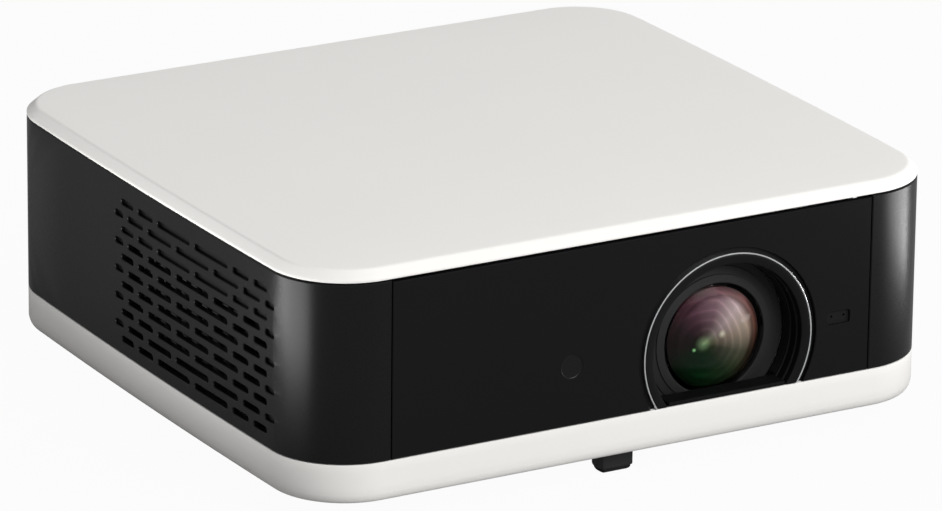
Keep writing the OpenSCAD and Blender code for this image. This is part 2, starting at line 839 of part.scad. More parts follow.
module fan_frame() {
  difference() {
    translate([fan_x, grille_y - fan_size / 2, grille_z - fan_size / 2])
      cube([fan_t, fan_size, fan_size]);
    translate([fan_x - 1, grille_y, grille_z]) rotate([0, 90, 0])
      cylinder(r = fan_hole_r, h = fan_t + 2, $fn = 96);
    for (sy = [-1, 1], sz = [-1, 1])
      translate([fan_x - 1, grille_y + sy * (fan_size / 2 - 4), grille_z + sz * (fan_size / 2 - 4)])
        rotate([0, 90, 0]) cylinder(r = 2.1, h = fan_t + 2);
  }
  translate([fan_x, grille_y, grille_z]) rotate([0, 90, 0]) cylinder(r = fan_hub_r, h = 1.6);
  translate([fan_x, grille_y, grille_z]) rotate([0, 90, 0])
    cylinder(r = fan_pin_r, h = 2 + rotor_w);
  for (a = [45 : 90 : 315])
    translate([fan_x, grille_y, grille_z]) rotate([a, 0, 0])
      translate([0, -1.2, fan_hub_r - 1]) cube([1.6, 2.4, fan_hole_r - fan_hub_r + 2]);
}

module fan_rotor() {
  difference() {
    union() {
      translate([fan_x + 2, grille_y, grille_z]) rotate([0, 90, 0])
        cylinder(r = fan_hub_r, h = rotor_w);
      intersection() {
        for (k = [0 : fan_blades - 1])
          translate([fan_x + 2 + rotor_w / 2, grille_y, grille_z])
            rotate([k * 360 / fan_blades, 0, 0]) rotate([0, 0, 38])
              translate([-rotor_w, -0.6, fan_hub_r - 1])
                cube([2 * rotor_w, 1.2, fan_hole_r - fan_hub_r]);
        translate([fan_x + 2, grille_y, grille_z]) rotate([0, 90, 0])
          cylinder(r = fan_hole_r - 1.2, h = rotor_w, $fn = 96);
      }
    }
    translate([fan_x + 1, grille_y, grille_z]) rotate([0, 90, 0])
      cylinder(r = fan_pin_r + run_fit, h = rotor_w + 2);
  }
}

module intake_fan_frame() {
  color("#242526") mirror([1, 0, 0]) fan_frame();
}

module intake_fan_rotor() {
  color("#191a1b") mirror([1, 0, 0]) fan_rotor();
}

module exhaust_fan_frame() {
  color("#242526") fan_frame();
}

module exhaust_fan_rotor() {
  color("#191a1b") fan_rotor();
}

module air_filter() {
  color("#5d6062") difference() {
    translate([-fan_x - fan_t - filter_t + 0.1, grille_y - filter_l / 2, grille_z - filter_h / 2])
      cube([filter_t - 0.3, filter_l, filter_h]);
    for (k = [-6 : 6])
      translate([-fan_x - fan_t - filter_t - 1, grille_y + k * 8 - 3, grille_z - filter_h / 2 + 4])
        cube([2.2, 6, filter_h - 8]);
  }
}

module speaker_box(s) {
  difference() {
    translate([s * speaker_x - speaker_w / 2, speaker_y1 - speaker_d, speaker_z0])
      cube([speaker_w, speaker_d, speaker_h]);
    translate([s * speaker_x - speaker_w / 2 + speaker_t, speaker_y1 - speaker_d + speaker_t,
               speaker_z0 + speaker_t])
      cube([speaker_w - 2 * speaker_t, speaker_d - 2 * speaker_t, speaker_h - 2 * speaker_t]);
    rod_y(cone_r + play, speaker_y1 - speaker_t - 1, speaker_t + 2, s * speaker_x, cone_z);
  }
}

module speaker_cone(s) {
  translate([s * speaker_x, speaker_y1 + 0.5, cone_z]) rotate([90, 0, 0])
    rotate_extrude($fn = 96) polygon([
      [0, 5], [7, 5], [15.5, 1.4], [18, 0], [cone_r, 0.4], [cone_r, 2.6], [18, 2.6],
      [15, 4], [9, 9], [9, 18], [0, 18]]);
}

module speaker_box_left() {
  color("#2f3133") speaker_box(-1);
}

module speaker_box_right() {
  color("#2f3133") speaker_box(1);
}

module speaker_cone_left() {
  color("#17181a") speaker_cone(-1);
}

module speaker_cone_right() {
  color("#17181a") speaker_cone(1);
}

module main_board() {
  color("#1f5a3c") difference() {
    translate([-main_half, main_y0, main_z]) cube([2 * main_half, main_d, board_t]);
    at_main_stands() translate([0, 0, main_z - 1])
      cylinder(r = board_screw_r + play, h = board_t + 2);
  }
}

// The switch stands just behind the pressed button's stem
switch_y = rear_y - 0.3 - button_l - button_travel - play;

module main_board_parts() {
  color("#2d2f33") translate([0, 0, main_z + board_t]) {
    translate([-20, main_y0 + 14, 0]) cube([26, 26, 6]);
    for (k = [0 : 2]) translate([14 + k * 11, main_y0 + 16, 0]) cube([8, 12, 1.4]);
    for (k = [0 : 3]) translate([-30 + k * 7, main_y0 + 8, 0]) cylinder(r = 2.5, h = 7);
    translate([button_x - 5, switch_y - switch_t, 0])
      cube([10, switch_t, button_z + 4 - main_z - board_t]);
  }
}

module power_board() {
  color("#8a7a3c") difference() {
    translate([power_x0, power_y0, power_z]) cube([power_x1 - power_x0, power_d, board_t]);
    at_power_stands() translate([0, 0, power_z - 1])
      cylinder(r = board_screw_r + play, h = board_t + 2);
  }
}

module power_board_parts() {
  color("#3a3428") translate([power_x0, power_y0, power_z + board_t]) {
    translate([14, 20, 0]) cube([30, 26, 24]);
    translate([14, 56, 0]) cube([18, 22, 18]);
    for (k = [0 : 2]) translate([56, 22 + k * 18, 0]) cylinder(r = 7, h = 26);
    translate([40, 60, 0]) cube([3, 34, 22]);
  }
}

// A metal socket shell with a contact tongue in its rear half
module socket(x, z, size, tongue_h) {
  difference() {
    translate([x - size[0] / 2, socket_face - socket_l, z - size[1] / 2])
      cube([size[0], socket_l, size[1]]);
    translate([x - size[0] / 2 + socket_wall, socket_face - socket_l + 2,
               z - size[1] / 2 + socket_wall])
      cube([size[0] - 2 * socket_wall, socket_l, size[1] - 2 * socket_wall]);
  }
  translate([x - size[0] / 2 + 2, socket_face - socket_l + 1, z - tongue_h / 2])
    cube([size[0] - 4, socket_l - 7, tongue_h]);
}

module hdmi_socket() {
  color("#a7a9ab") socket(hdmi_x, hdmi_z, hdmi_size, 1.2);
}

module usb_socket() {
  color("#a7a9ab") socket(usb_x, usb_z, usb_size, 1.8);
}

module audio_jack() {
  color("#1a1a1b") difference() {
    translate([jack_x - jack_body[0] / 2, socket_face - jack_body[1], jack_z - jack_body[2] / 2])
      cube(jack_body);
    rod_y(jack_r, socket_face - jack_l, jack_l + 1, jack_x, jack_z);
  }
}

inlet_pin_r = 1.2;
inlet_pin_pitch = 8.6;
inlet_depth = 10.5;
inlet_l = 15;

module power_inlet() {
  color("#1a1a1b") difference() {
    translate([inlet_x - inlet_size[0] / 2, socket_face - inlet_l, inlet_z - inlet_size[1] / 2])
      cube([inlet_size[0], inlet_l, inlet_size[1]]);
    for (s = [-1, 1])
      rod_y(4, socket_face - inlet_depth, inlet_depth + 1, inlet_x + s * inlet_pin_pitch / 2,
        inlet_z);
    translate([inlet_x - inlet_pin_pitch / 2, socket_face - inlet_depth, inlet_z - 3.4])
      cube([inlet_pin_pitch, inlet_depth + 1, 6.8]);
  }
  color("#c8c9ca") for (s = [-1, 1])
    rod_y(inlet_pin_r, socket_face - inlet_depth - 0.5, inlet_depth - 1,
      inlet_x + s * inlet_pin_pitch / 2, inlet_z);
}

module power_button() {
  color("#2b2c2e") {
    rod_y(button_r, rear_y - 0.3 - wall - 0.7, wall + 0.7, button_x, button_z);
    rod_y(button_r + 1.2, rear_y - wall - 1.4, 1.2, button_x, button_z);
    rod_y(1.8, rear_y - 0.3 - button_l, button_l - 1, button_x, button_z);
  }
}

module status_light() {
  color("#dfe6e8") rod_y(status_r, rear_y - 0.2 - wall - 2, wall + 2, status_x, button_z);
}

module front_foot_guide() {
  color("#3a3b3d") translate([0, foot_y, z_floor]) difference() {
    linear_extrude(guide_top - z_floor) foot_plan(guide_wall);
    translate([0, 0, -1]) linear_extrude(guide_top - z_floor + 2) foot_plan(run_fit);
  }
}

module front_foot_post() {
  color("#3c3d40") translate([0, foot_y, foot_post_z])
    linear_extrude(guide_top - foot_post_z) foot_plan(0);
}

module front_foot_pad() {
  color("#1c1c1d") translate([0, foot_y, 0]) intersection() {
    linear_extrude(foot_post_z) foot_plan(-0.6);
    rotate_extrude($fn = 96) polygon([
      [0, 0], [3.4, 0], [5.6, 0.7], [6.9, 1.7], [6.9, foot_post_z], [0, foot_post_z]]);
  }
}

module rear_foot() {
  rotate_extrude($fn = 64) polygon([
    [0, 0], [rear_foot_r - 1.6, 0], [rear_foot_r - 0.6, 1], [rear_foot_r, foot_h],
    [rear_foot_r - 5, foot_h], [rear_foot_r - 5, foot_h + foot_spigot - 0.2],
    [0, foot_h + foot_spigot - 0.2]]);
}

module rear_foot_left() {
  color("#232324") translate([-rear_foot_x, rear_foot_y, 0]) rear_foot();
}

module rear_foot_right() {
  color("#232324") translate([rear_foot_x, rear_foot_y, 0]) rear_foot();
}

module ceiling_inserts() {
  color("#c9a653") at_mounts() translate([0, 0, foot_h]) difference() {
    cylinder(r = insert_r, h = insert_l - 0.1);
    translate([0, 0, -1]) cylinder(r = m4_r, h = insert_l + 2);
  }
}

module tripod_insert() {
  color("#c9a653") translate([0, 0, foot_h]) difference() {
    cylinder(r = tripod_r, h = tripod_l - 0.1);
    translate([0, 0, -1]) cylinder(r = tripod_bore_r, h = tripod_l + 2);
  }
}

module screw(r, head_r, head_h, l) {
  translate([0, 0, -head_h / 3]) cylinder(r = r, h = l + head_h / 3);
  difference() {
    translate([0, 0, -head_h]) cylinder(r = head_r, h = head_h);
    translate([-head_r * 0.6, -0.4, -head_h - 1]) cube([head_r * 1.2, 0.8, 1 + head_h / 2]);
    translate([-0.4, -head_r * 0.6, -head_h - 1]) cube([0.8, head_r * 1.2, 1 + head_h / 2]);
  }
}

case_screw_z = foot_h + case_head_h + 2;

module case_screws() {
  color("#8d8f92") at_posts() translate([0, 0, case_screw_z])
    screw(case_screw_r, case_head_r, case_head_h, z_rim_top - 2.2 - case_screw_z);
}

module down_screw(z) {
  translate([0, 0, z]) mirror([0, 0, 1]) screw(board_screw_r, 2.8, 1.8, 7);
}

module board_screws() {
  color("#8d8f92") {
    at_main_stands() down_screw(main_z + board_t);
    at_power_stands() down_screw(power_z + board_t);
  }
}

module lid_screws() {
  color("#8d8f92")
    for (x = [engine_x0 + 4, engine_x1 - 4], y = [engine_y0 + 4, engine_y0 + engine_l - 4])
      translate([x, y, 0]) down_screw(engine_top + lid_t);
}

base_tray();
side_band_left();
side_band_right();
top_cover();
front_panel();
rear_panel();
lens_trim_ring();
lens_recess();
lens_bezel();
sensor_window();
rangefinder_window();
camera_module();
rangefinder_module();
lens_barrel();
front_lens();
rear_lens();
focus_ring();
focus_cell();
focus_lens();
focus_motor();
focus_pinion();
engine_housing();
engine_lid();
prism_block();
image_panels();
light_source();
heat_sink();
heat_pipes();
intake_fan_frame();
intake_fan_rotor();
exhaust_fan_frame();
exhaust_fan_rotor();
air_filter();
speaker_box_left();
speaker_box_right();
speaker_cone_left();
speaker_cone_right();
main_board();
main_board_parts();
power_board();
power_board_parts();
hdmi_socket();
usb_socket();
audio_jack();
power_inlet();
power_button();
status_light();
front_foot_guide();
front_foot_post();
front_foot_pad();
rear_foot_left();
rear_foot_right();
ceiling_inserts();
tripod_insert();
case_screws();
board_screws();
lid_screws();
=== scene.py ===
"""Home projector: the finished look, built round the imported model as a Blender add-on."""

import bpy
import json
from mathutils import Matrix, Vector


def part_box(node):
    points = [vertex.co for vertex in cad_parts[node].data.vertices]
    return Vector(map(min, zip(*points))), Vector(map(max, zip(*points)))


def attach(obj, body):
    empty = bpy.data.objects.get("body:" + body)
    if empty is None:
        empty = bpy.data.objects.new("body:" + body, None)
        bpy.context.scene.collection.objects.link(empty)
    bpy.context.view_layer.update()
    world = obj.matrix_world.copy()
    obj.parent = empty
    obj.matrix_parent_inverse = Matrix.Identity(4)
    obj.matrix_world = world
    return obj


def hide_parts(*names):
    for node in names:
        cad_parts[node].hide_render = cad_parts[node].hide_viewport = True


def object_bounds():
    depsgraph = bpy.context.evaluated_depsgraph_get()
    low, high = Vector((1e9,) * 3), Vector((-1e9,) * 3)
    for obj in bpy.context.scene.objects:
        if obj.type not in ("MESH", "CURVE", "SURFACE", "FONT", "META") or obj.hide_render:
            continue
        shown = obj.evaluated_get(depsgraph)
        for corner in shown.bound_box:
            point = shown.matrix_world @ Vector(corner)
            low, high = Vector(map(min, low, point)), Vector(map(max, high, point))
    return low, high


bl_info = {
    "name": "Home projector",
    "version": (1, 0, 0),
    "blender": (4, 5, 0),
    "location": "View3D > Sidebar > Projector",
    "description": "Builds the shells, lens, windows, feet and finishes of a flat home projector",
    "category": "Object",
}

import json
import math

import bmesh
import bpy
from bpy.props import FloatProperty, FloatVectorProperty, IntProperty, PointerProperty
from mathutils import Matrix, Vector
from mathutils.geometry import delaunay_2d_cdt

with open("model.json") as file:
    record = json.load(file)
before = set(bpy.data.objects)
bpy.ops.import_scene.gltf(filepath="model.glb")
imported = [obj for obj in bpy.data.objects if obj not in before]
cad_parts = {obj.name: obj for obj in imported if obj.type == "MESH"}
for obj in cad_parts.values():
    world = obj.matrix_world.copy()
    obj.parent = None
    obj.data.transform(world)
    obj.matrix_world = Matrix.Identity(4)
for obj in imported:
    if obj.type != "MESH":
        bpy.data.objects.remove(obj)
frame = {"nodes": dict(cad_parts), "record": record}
CAD_LOW, CAD_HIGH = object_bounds()

MM = 0.001
TAU = 2 * math.pi
HOUSING = "housing"

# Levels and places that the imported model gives
WIDTH = CAD_HIGH.x - CAD_LOW.x
DEPTH = CAD_HIGH.y - CAD_LOW.y
FRONT_Y = CAD_LOW.y
REAR_Y = CAD_HIGH.y
TRAY_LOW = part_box("base_tray")[0].z
BAND_LOW, BAND_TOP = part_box("side_band_left")[0].z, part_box("side_band_left")[1].z
COVER_LOW, COVER_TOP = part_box("top_cover")[0].z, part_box("top_cover")[1].z
PANEL_LOW, PANEL_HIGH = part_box("front_panel")
LENS_LOW, LENS_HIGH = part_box("front_lens")
LENS_X = (LENS_LOW.x + LENS_HIGH.x) / 2
LENS_Z = (LENS_LOW.z + LENS_HIGH.z) / 2
RECESS_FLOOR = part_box("lens_recess")[0].z

CASE_HEAD_RADIUS, CASE_HEAD_HEIGHT = 3.0 * MM, 2.4 * MM


def middle(node):
    """The middle of a CAD node's box."""
    low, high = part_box(node)
    return (low + high) / 2


def corners(node, step, z):
    """Four points at a level, each a step in from an upright corner of a CAD node's box."""
    low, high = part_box(node)
    return [(x, y, z) for x in (low.x + step, high.x - step)
            for y in (low.y + step, high.y - step)]


# ---------------------------------------------------------------- settings

class ProjectorSizes(bpy.types.PropertyGroup):
    """Sizes of the visible details, in metres."""

    side_bow: FloatProperty(
        name="Side bow", description="Outward bow of each side wall between its corners",
        default=1.2 * MM, min=0.2 * MM, max=4 * MM, unit="LENGTH")
    corner_radius: FloatProperty(
        name="Corner radius", description="Plan radius of the four upright corners",
        default=29 * MM, min=20 * MM, max=36 * MM, unit="LENGTH")
    wall: FloatProperty(
        name="Wall", description="Wall of the shells and panels",
        default=2.5 * MM, min=1.5 * MM, max=4 * MM, unit="LENGTH")
    rim_run: FloatProperty(
        name="Rim run", description="Inward run of the cover's sloped rim",
        default=3.5 * MM, min=1 * MM, max=6 * MM, unit="LENGTH")
    crown: FloatProperty(
        name="Crown", description="Extra height of the cover's middle",
        default=0.8 * MM, min=0, max=2 * MM, unit="LENGTH")
    tray_round: FloatProperty(
        name="Tray round", description="Inward run of the tray's rounded lower edge",
        default=2.4 * MM, min=0, max=4 * MM, unit="LENGTH")
    edge: FloatProperty(
        name="Edge", description="Small chamfer on the panels' edges",
        default=0.3 * MM, min=0.1 * MM, max=1 * MM, unit="LENGTH")
    slot_height: FloatProperty(
        name="Slot height", description="Height of a vent slot",
        default=3 * MM, min=1 * MM, max=4 * MM, unit="LENGTH")
    slot_space: FloatProperty(
        name="Slot space", description="Space between two slots of a row",
        default=3.2 * MM, min=1 * MM, max=5 * MM, unit="LENGTH")
    row_pitch: FloatProperty(
        name="Row pitch", description="Height between two rows of slots",
        default=5.24 * MM, min=4 * MM, max=7 * MM, unit="LENGTH")
    grille_y: FloatProperty(
        name="Grille place", description="Middle of the side grilles along the depth",
        default=-34.6 * MM, unit="LENGTH")
    grille_drop: FloatProperty(
        name="Grille drop", description="Drop from the band's top edge to the first row",
        default=7.9 * MM, unit="LENGTH")
    rows: IntProperty(
        name="Rows", description="Rows of slots in a side grille", default=11, min=3, max=13)
    blind_rows: IntProperty(
        name="Blind rows", description="Rows at the top that are shallow pockets",
        default=3, min=0, max=6)
    blind_depth: FloatProperty(
        name="Pocket depth", description="Depth of a shallow slot",
        default=1.4 * MM, min=0.5 * MM, max=2 * MM, unit="LENGTH")
    aperture: FloatProperty(
        name="Aperture", description="Radius of the fascia's lens hole",
        default=37 * MM, unit="LENGTH")
    ring: FloatProperty(
        name="Trim ring", description="Outer radius of the bright trim ring",
        default=35.1 * MM, unit="LENGTH")
    ring_width: FloatProperty(
        name="Trim ring width", description="Width of the bright ring's front edge",
        default=0.6 * MM, unit="LENGTH")
    recess: FloatProperty(
        name="Recess", description="Radius of the recess at its mouth",
        default=31 * MM, unit="LENGTH")
    recess_depth: FloatProperty(
        name="Recess depth", description="Depth of the recess behind the fascia",
        default=12 * MM, unit="LENGTH")
    glass: FloatProperty(
        name="Front glass", description="Radius of the front glass",
        default=20.5 * MM, unit="LENGTH")
    glass_bulge: FloatProperty(
        name="Glass bulge", description="Bulge of the front glass",
        default=5 * MM, unit="LENGTH")


class ProjectorColours(bpy.types.PropertyGroup):
    """Base colours of the main finishes, linear."""

    shell: FloatVectorProperty(
        name="Shell", description="Warm white of the cover and the tray", subtype="COLOR",
        size=3, min=0, max=1, default=(0.80, 0.788, 0.762))
    band: FloatVectorProperty(
        name="Band", description="Satin black of the side walls", subtype="COLOR",
        size=3, min=0, max=1, default=(0.0065, 0.0065, 0.0068))
    fascia: FloatVectorProperty(
        name="Fascia", description="Black of the front panel", subtype="COLOR",
        size=3, min=0, max=1, default=(0.0055, 0.0055, 0.006))
    bezel: FloatVectorProperty(
        name="Bezel", description="Dark grey of the ring round the glass", subtype="COLOR",
        size=3, min=0, max=1, default=(0.015, 0.015, 0.0155))


def sizes():
    """The sizes that the panel shows."""
    return bpy.context.scene.projector_sizes


def colours():
    """The colours that the panel shows."""
    return bpy.context.scene.projector_colours


# ---------------------------------------------------------------- mesh helpers

# The angles over which an edge is drawn sharp
SHARP = math.radians(28)
SHELL_SHARP, GLASS_SHARP = math.radians(32), math.radians(40)
PAD_SHARP, STEP_SHARP = math.radians(45), math.radians(15)
# The distances under which two points count as one
WELD, ON_AXIS, SHEET_WELD = 1e-6, 1e-7, 1e-9


def to_object(bm, name, materials, sharp=SHARP):
    """Turns a bmesh into a shaded object, with the edges over the sharp angle split."""
    bm.normal_update()
    for face in bm.faces:
        face.smooth = True
    for edge in bm.edges:
        if len(edge.link_faces) == 2 and edge.calc_face_angle(0) > sharp:
            edge.smooth = False
    mesh = bpy.data.meshes.new(name)
    bm.to_mesh(mesh)
    bm.free()
    for material in materials:
        mesh.materials.append(material)
    obj = bpy.data.objects.new(name, mesh)
    bpy.context.collection.objects.link(obj)
    return obj


def settle(obj, body, slot, *nodes):
    """Puts a finished piece on its body, and hides the CAD nodes it stands for."""
    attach(obj, body)
    if nodes:
        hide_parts(*nodes)
    return obj


def bridge(bm, ring_a, ring_b):
    """Quads between two closed rings of vertices of equal length."""
    count = len(ring_a)
    for i in range(count):
        j = (i + 1) % count
        bm.faces.new((ring_a[i], ring_a[j], ring_b[j], ring_b[i]))


def loft(bm, rings):
    """A skin over closed rings of points, closed by fans at both ends."""
    levels = [[bm.verts.new(p) for p in ring] for ring in rings]
    for a, b in zip(levels, levels[1:]):
        bridge(bm, a, b)
    for level, flip in ((levels[0], True), (levels[-1], False)):
        hub = bm.verts.new(sum((v.co for v in level), Vector()) / len(level))
        for i, v in enumerate(level):
            w = level[(i + 1) % len(level)]
            bm.faces.new((w, v, hub) if flip else (v, w, hub))


def outward(bm):
    """Closes seams and turns every face outwards."""
    bmesh.ops.remove_doubles(bm, verts=bm.verts, dist=WELD)
    bmesh.ops.recalc_face_normals(bm, faces=bm.faces)


def turned(profile, steps=128, axis_x=None, axis_z=None):
    """A closed profile of (radius, depth behind the front face), turned about the lens axis."""
    x0 = LENS_X if axis_x is None else axis_x
    z0 = LENS_Z if axis_z is None else axis_z
    bm = bmesh.new()
    rows = []
    for radius, depth in profile:
        if radius < ON_AXIS:
            rows.append([bm.verts.new((x0, FRONT_Y + depth, z0))])
        else:
            rows.append([
                bm.verts.new((x0 + radius * math.cos(TAU * i / steps), FRONT_Y + depth,
                              z0 + radius * math.sin(TAU * i / steps)))
                for i in range(steps)])
    for a, b in zip(rows, rows[1:] + rows[:1]):
        if len(a) == 1 and len(b) == 1:
            continue
        for i in range(steps):
            j = (i + 1) % steps
            if len(a) == 1:
                bm.faces.new((a[0], b[j], b[i]))
            elif len(b) == 1:
                bm.faces.new((a[i], a[j], b[0]))
            else:
                bm.faces.new((a[i], a[j], b[j], b[i]))
    outward(bm)
    return bm


def cut_level(bm, z):
    """Cuts away everything below a level and closes the cut."""
    geometry = bm.verts[:] + bm.edges[:] + bm.faces[:]
    cut = bmesh.ops.bisect_plane(bm, geom=geometry, plane_co=(0, 0, z), plane_no=(0, 0, -1),
                                 clear_outer=True, dist=ON_AXIS)
    edges = [e for e in cut["geom_cut"] if isinstance(e, bmesh.types.BMEdge)]
    bmesh.ops.holes_fill(bm, edges=edges, sides=0)
    outward(bm)
    return bm


def add_box(bm, low, high, bevel):
    """A box with rounded edges, added to a bmesh."""
    made = bmesh.ops.create_cube(bm, size=1)["verts"]
    for v in made:
        v.co = Vector((low[k] + (v.co[k] + 0.5) * (high[k] - low[k]) for k in range(3)))
    edges = {e for v in made for e in v.link_edges}
    bmesh.ops.bevel(bm, geom=list(edges), offset=bevel, segments=2, affect="EDGES", profile=0.7)


# ---------------------------------------------------------------- plan of the body

class Plan:
    """The body's outline: flat ends, corner arcs, and large side arcs tangent to them."""

    def __init__(self):
        s = sizes()
        self.radius = s.corner_radius
        self.cx = WIDTH / 2 - s.side_bow - s.corner_radius
        self.cy = DEPTH / 2 - s.corner_radius
        reach = (s.side_bow ** 2 + self.cy ** 2) / (2 * s.side_bow)
        self.side_radius = reach + s.corner_radius
        self.side_cx = WIDTH / 2 - self.side_radius
        self.turn = math.asin(self.cy / reach)
        self.side_run = self.side_radius * self.turn
        self.corner_run = self.radius * (math.pi / 2 - self.turn)

    def at(self, u, depth=0.0):
        """A point of the right-hand wall: u runs rearwards from the middle of the side."""
        sign, run = math.copysign(1, u), abs(u)
        if run <= self.side_run:
            angle, r = run / self.side_radius, self.side_radius - depth
            return self.side_cx + r * math.cos(angle), sign * r * math.sin(angle)
        run -= self.side_run
        if run <= self.corner_run:
            angle, r = self.turn + run / self.radius, self.radius - depth
            return self.cx + r * math.cos(angle), sign * (self.cy + r * math.sin(angle))
        run -= self.corner_run
        return self.cx - run, sign * (DEPTH / 2 - depth)

    def side_u(self, y):
        """The run along the side arc at a depth-wise place."""
        return self.side_radius * math.asin(y / self.side_radius)

    def stops(self, end_x, corner_steps=20, side_steps=12):
        """Runs from the front end of the right-hand wall to its rear end."""
        half = [self.side_run * k / side_steps for k in range(1, side_steps + 1)]
        half += [self.side_run + self.corner_run * k / corner_steps
                 for k in range(1, corner_steps + 1)]
        half.append(self.side_run + self.corner_run + self.cx - end_x)
        return [-u for u in reversed(half)] + [0.0] + half

    def ring(self, inset, z, corner_steps=20, side_steps=8):
        """The whole outline at an inset and a level, counter-clockwise."""
        right = [self.at(u, inset) for u in self.stops(0.0, corner_steps, side_steps)]
        left = [(-x, y) for x, y in reversed(right[1:-1])]
        return [Vector((x, y, z)) for x, y in right + left]


# ---------------------------------------------------------------- pierced sheets

def slot_loop(u, z, length, height, inset=0.0, steps=6):
    """A slot with round ends, as a loop of points in the sheet, counter-clockwise."""
    r = height / 2 - inset
    half = (length - height) / 2
    loop = []
    for side, start in ((1, -math.pi / 2), (-1, math.pi / 2)):
        for k in range(steps + 1):
            a = start + math.pi * k / steps
            loop.append((u + side * half + r * math.cos(a), z + r * math.sin(a)))
    return loop


def circle_loop(u, z, radius, inset=0.0, steps=96):
    """A round hole as a loop of points in the sheet."""
    r = radius - inset
    return [(u + r * math.cos(TAU * k / steps), z + r * math.sin(TAU * k / steps))
            for k in range(steps)]


def box_loop(u, z, width, height, radius, inset=0.0, steps=5):
    """A hole with four rounded corners as a loop of points in the sheet."""
    w, h, r = width / 2 - radius, height / 2 - radius, radius - inset
    loop = []
    for sx, sz, start in ((1, -1, -90), (1, 1, 0), (-1, 1, 90), (-1, -1, 180)):
        for k in range(steps + 1):
            a = math.radians(start + 90 * k / steps)
            loop.append((u + sx * w + r * math.cos(a), z + sz * h + r * math.sin(a)))
    return loop


def inside(point, loop):
    """Whether a point lies in a loop."""
    x, y = point
    hit = False
    for (ax, ay), (bx, by) in zip(loop, loop[1:] + loop[:1]):
        if (ay > y) != (by > y) and x < ax + (y - ay) / (by - ay) * (bx - ax):
            hit = not hit
    return hit


def sheet_faces(bm, outline, loops, extra, place, flip):
    """Triangulates an outline with holes. Returns the vertices of the outline and each hole."""
    points, edges = [], []
    for loop in [outline] + loops:
        start = len(points)
        points += [Vector(p) for p in loop]
        edges += [(start + i, start + (i + 1) % len(loop)) for i in range(len(loop))]
    points += [Vector(p) for p in extra]
    made, _, tris, origin, _, _ = delaunay_2d_cdt(points, edges, [], 0, SHEET_WELD)
    back = {}
    for new, olds in enumerate(origin):
        for old in olds:
            back[old] = new
    verts = [bm.verts.new(place(p.x, p.y)) for p in made]
    centres = [((min(p[0] for p in loop) + max(p[0] for p in loop)) / 2,
                (min(p[1] for p in loop) + max(p[1] for p in loop)) / 2,
                max(max(p[0] for p in loop) - min(p[0] for p in loop),
                    max(p[1] for p in loop) - min(p[1] for p in loop)))
               for loop in loops]
    for tri in tris:
        c = sum((made[i] for i in tri), Vector((0, 0))) / 3
        near = [loop for loop, (x, z, span) in zip(loops, centres)
                if abs(c.x - x) < span and abs(c.y - z) < span]
        if not inside(c, outline) or any(inside(c, loop) for loop in near):
            continue
        bm.faces.new([verts[i] for i in (reversed(tri) if flip else tri)])
    ids, start = [], 0
    for loop in [outline] + loops:
        ids.append([verts[back[start + i]] for i in range(len(loop))])
        start += len(loop)
    return ids


def pierced(place, outline_at, holes, wall, edge, extra=()):
    """A wall with chamfered holes and edges.

    place(u, z, depth) gives a point, outline_at(inset) the sheet's loop, and each hole is
    (loop function of an inset, depth or None for a through hole, chamfer).
    """
    bm = bmesh.new()
    front = sheet_faces(bm, outline_at(edge), [h[0](0.0) for h in holes], extra,
                        lambda u, z: place(u, z, 0.0), False)
    through = [h for h in holes if h[1] is None]
    back = sheet_faces(bm, outline_at(0.0), [h[0](h[2]) for h in through], extra,
                       lambda u, z: place(u, z, wall), True)
    lip = [bm.verts.new(place(u, z, edge)) for u, z in outline_at(0.0)]
    bridge(bm, lip, front[0])
    bridge(bm, back[0], lip)
    backs = iter(back[1:])
    for hole, mouth in zip(holes, front[1:]):
        loop = hole[0](hole[2])
        throat = [bm.verts.new(place(u, z, hole[2])) for u, z in loop]
        bridge(bm, mouth, throat)
        if hole[1] is None:
            bridge(bm, throat, next(backs))
        else:
            floor = [bm.verts.new(place(u, z, hole[1])) for u, z in loop]
            bridge(bm, throat, floor)
            bm.faces.new(floor)
    outward(bm)
    return bm


def row_slots(odd):
    """Middles and lengths of the slots of one row of a side grille."""
    gap = sizes().slot_space
    if odd:
        slots, edge, lengths = [(0.0, 25 * MM)], 12.5 * MM + gap, (18.5, 12.5, 7)
    else:
        slots, edge, lengths = [], gap / 2, (25, 12, 10)
    for length in lengths:
        length *= MM
        slots += [(s * (edge + length / 2), length) for s in (-1, 1)]
        edge += length + gap
    return slots


# ---------------------------------------------------------------- materials

def node_material(name):
    """An empty node material with its shader and object coordinates."""
    material = bpy.data.materials.new(name)
    material.use_nodes = True
    nodes, links = material.node_tree.nodes, material.node_tree.links
    shader = nodes["Principled BSDF"]
    where = nodes.new("ShaderNodeTexCoord")
    return material, nodes, links, shader, where.outputs["Object"]


def noise(nodes, links, where, scale, detail=3.0, stretch=None):
    """A noise texture on object coordinates, optionally stretched."""
    if stretch:
        mapping = nodes.new("ShaderNodeMapping")
        mapping.inputs["Scale"].default_value = stretch
        links.new(where, mapping.inputs["Vector"])
        where = mapping.outputs["Vector"]
    texture = nodes.new("ShaderNodeTexNoise")
    texture.inputs["Scale"].default_value = scale
    texture.inputs["Detail"].default_value = detail
    links.new(where, texture.inputs["Vector"])
    return texture.outputs["Fac"]


# The range that a noise texture mostly keeps to
NOISE_LOW, NOISE_HIGH = 0.3, 0.7


def spread(nodes, links, source, low, high):
    """Maps a noise's usual range to a range of its own."""
    node = nodes.new("ShaderNodeMapRange")
    for label, value in (("From Min", NOISE_LOW), ("From Max", NOISE_HIGH), ("To Min", low),
                         ("To Max", high)):
        node.inputs[label].default_value = value
    links.new(source, node.inputs["Value"])
    return node.outputs["Result"]


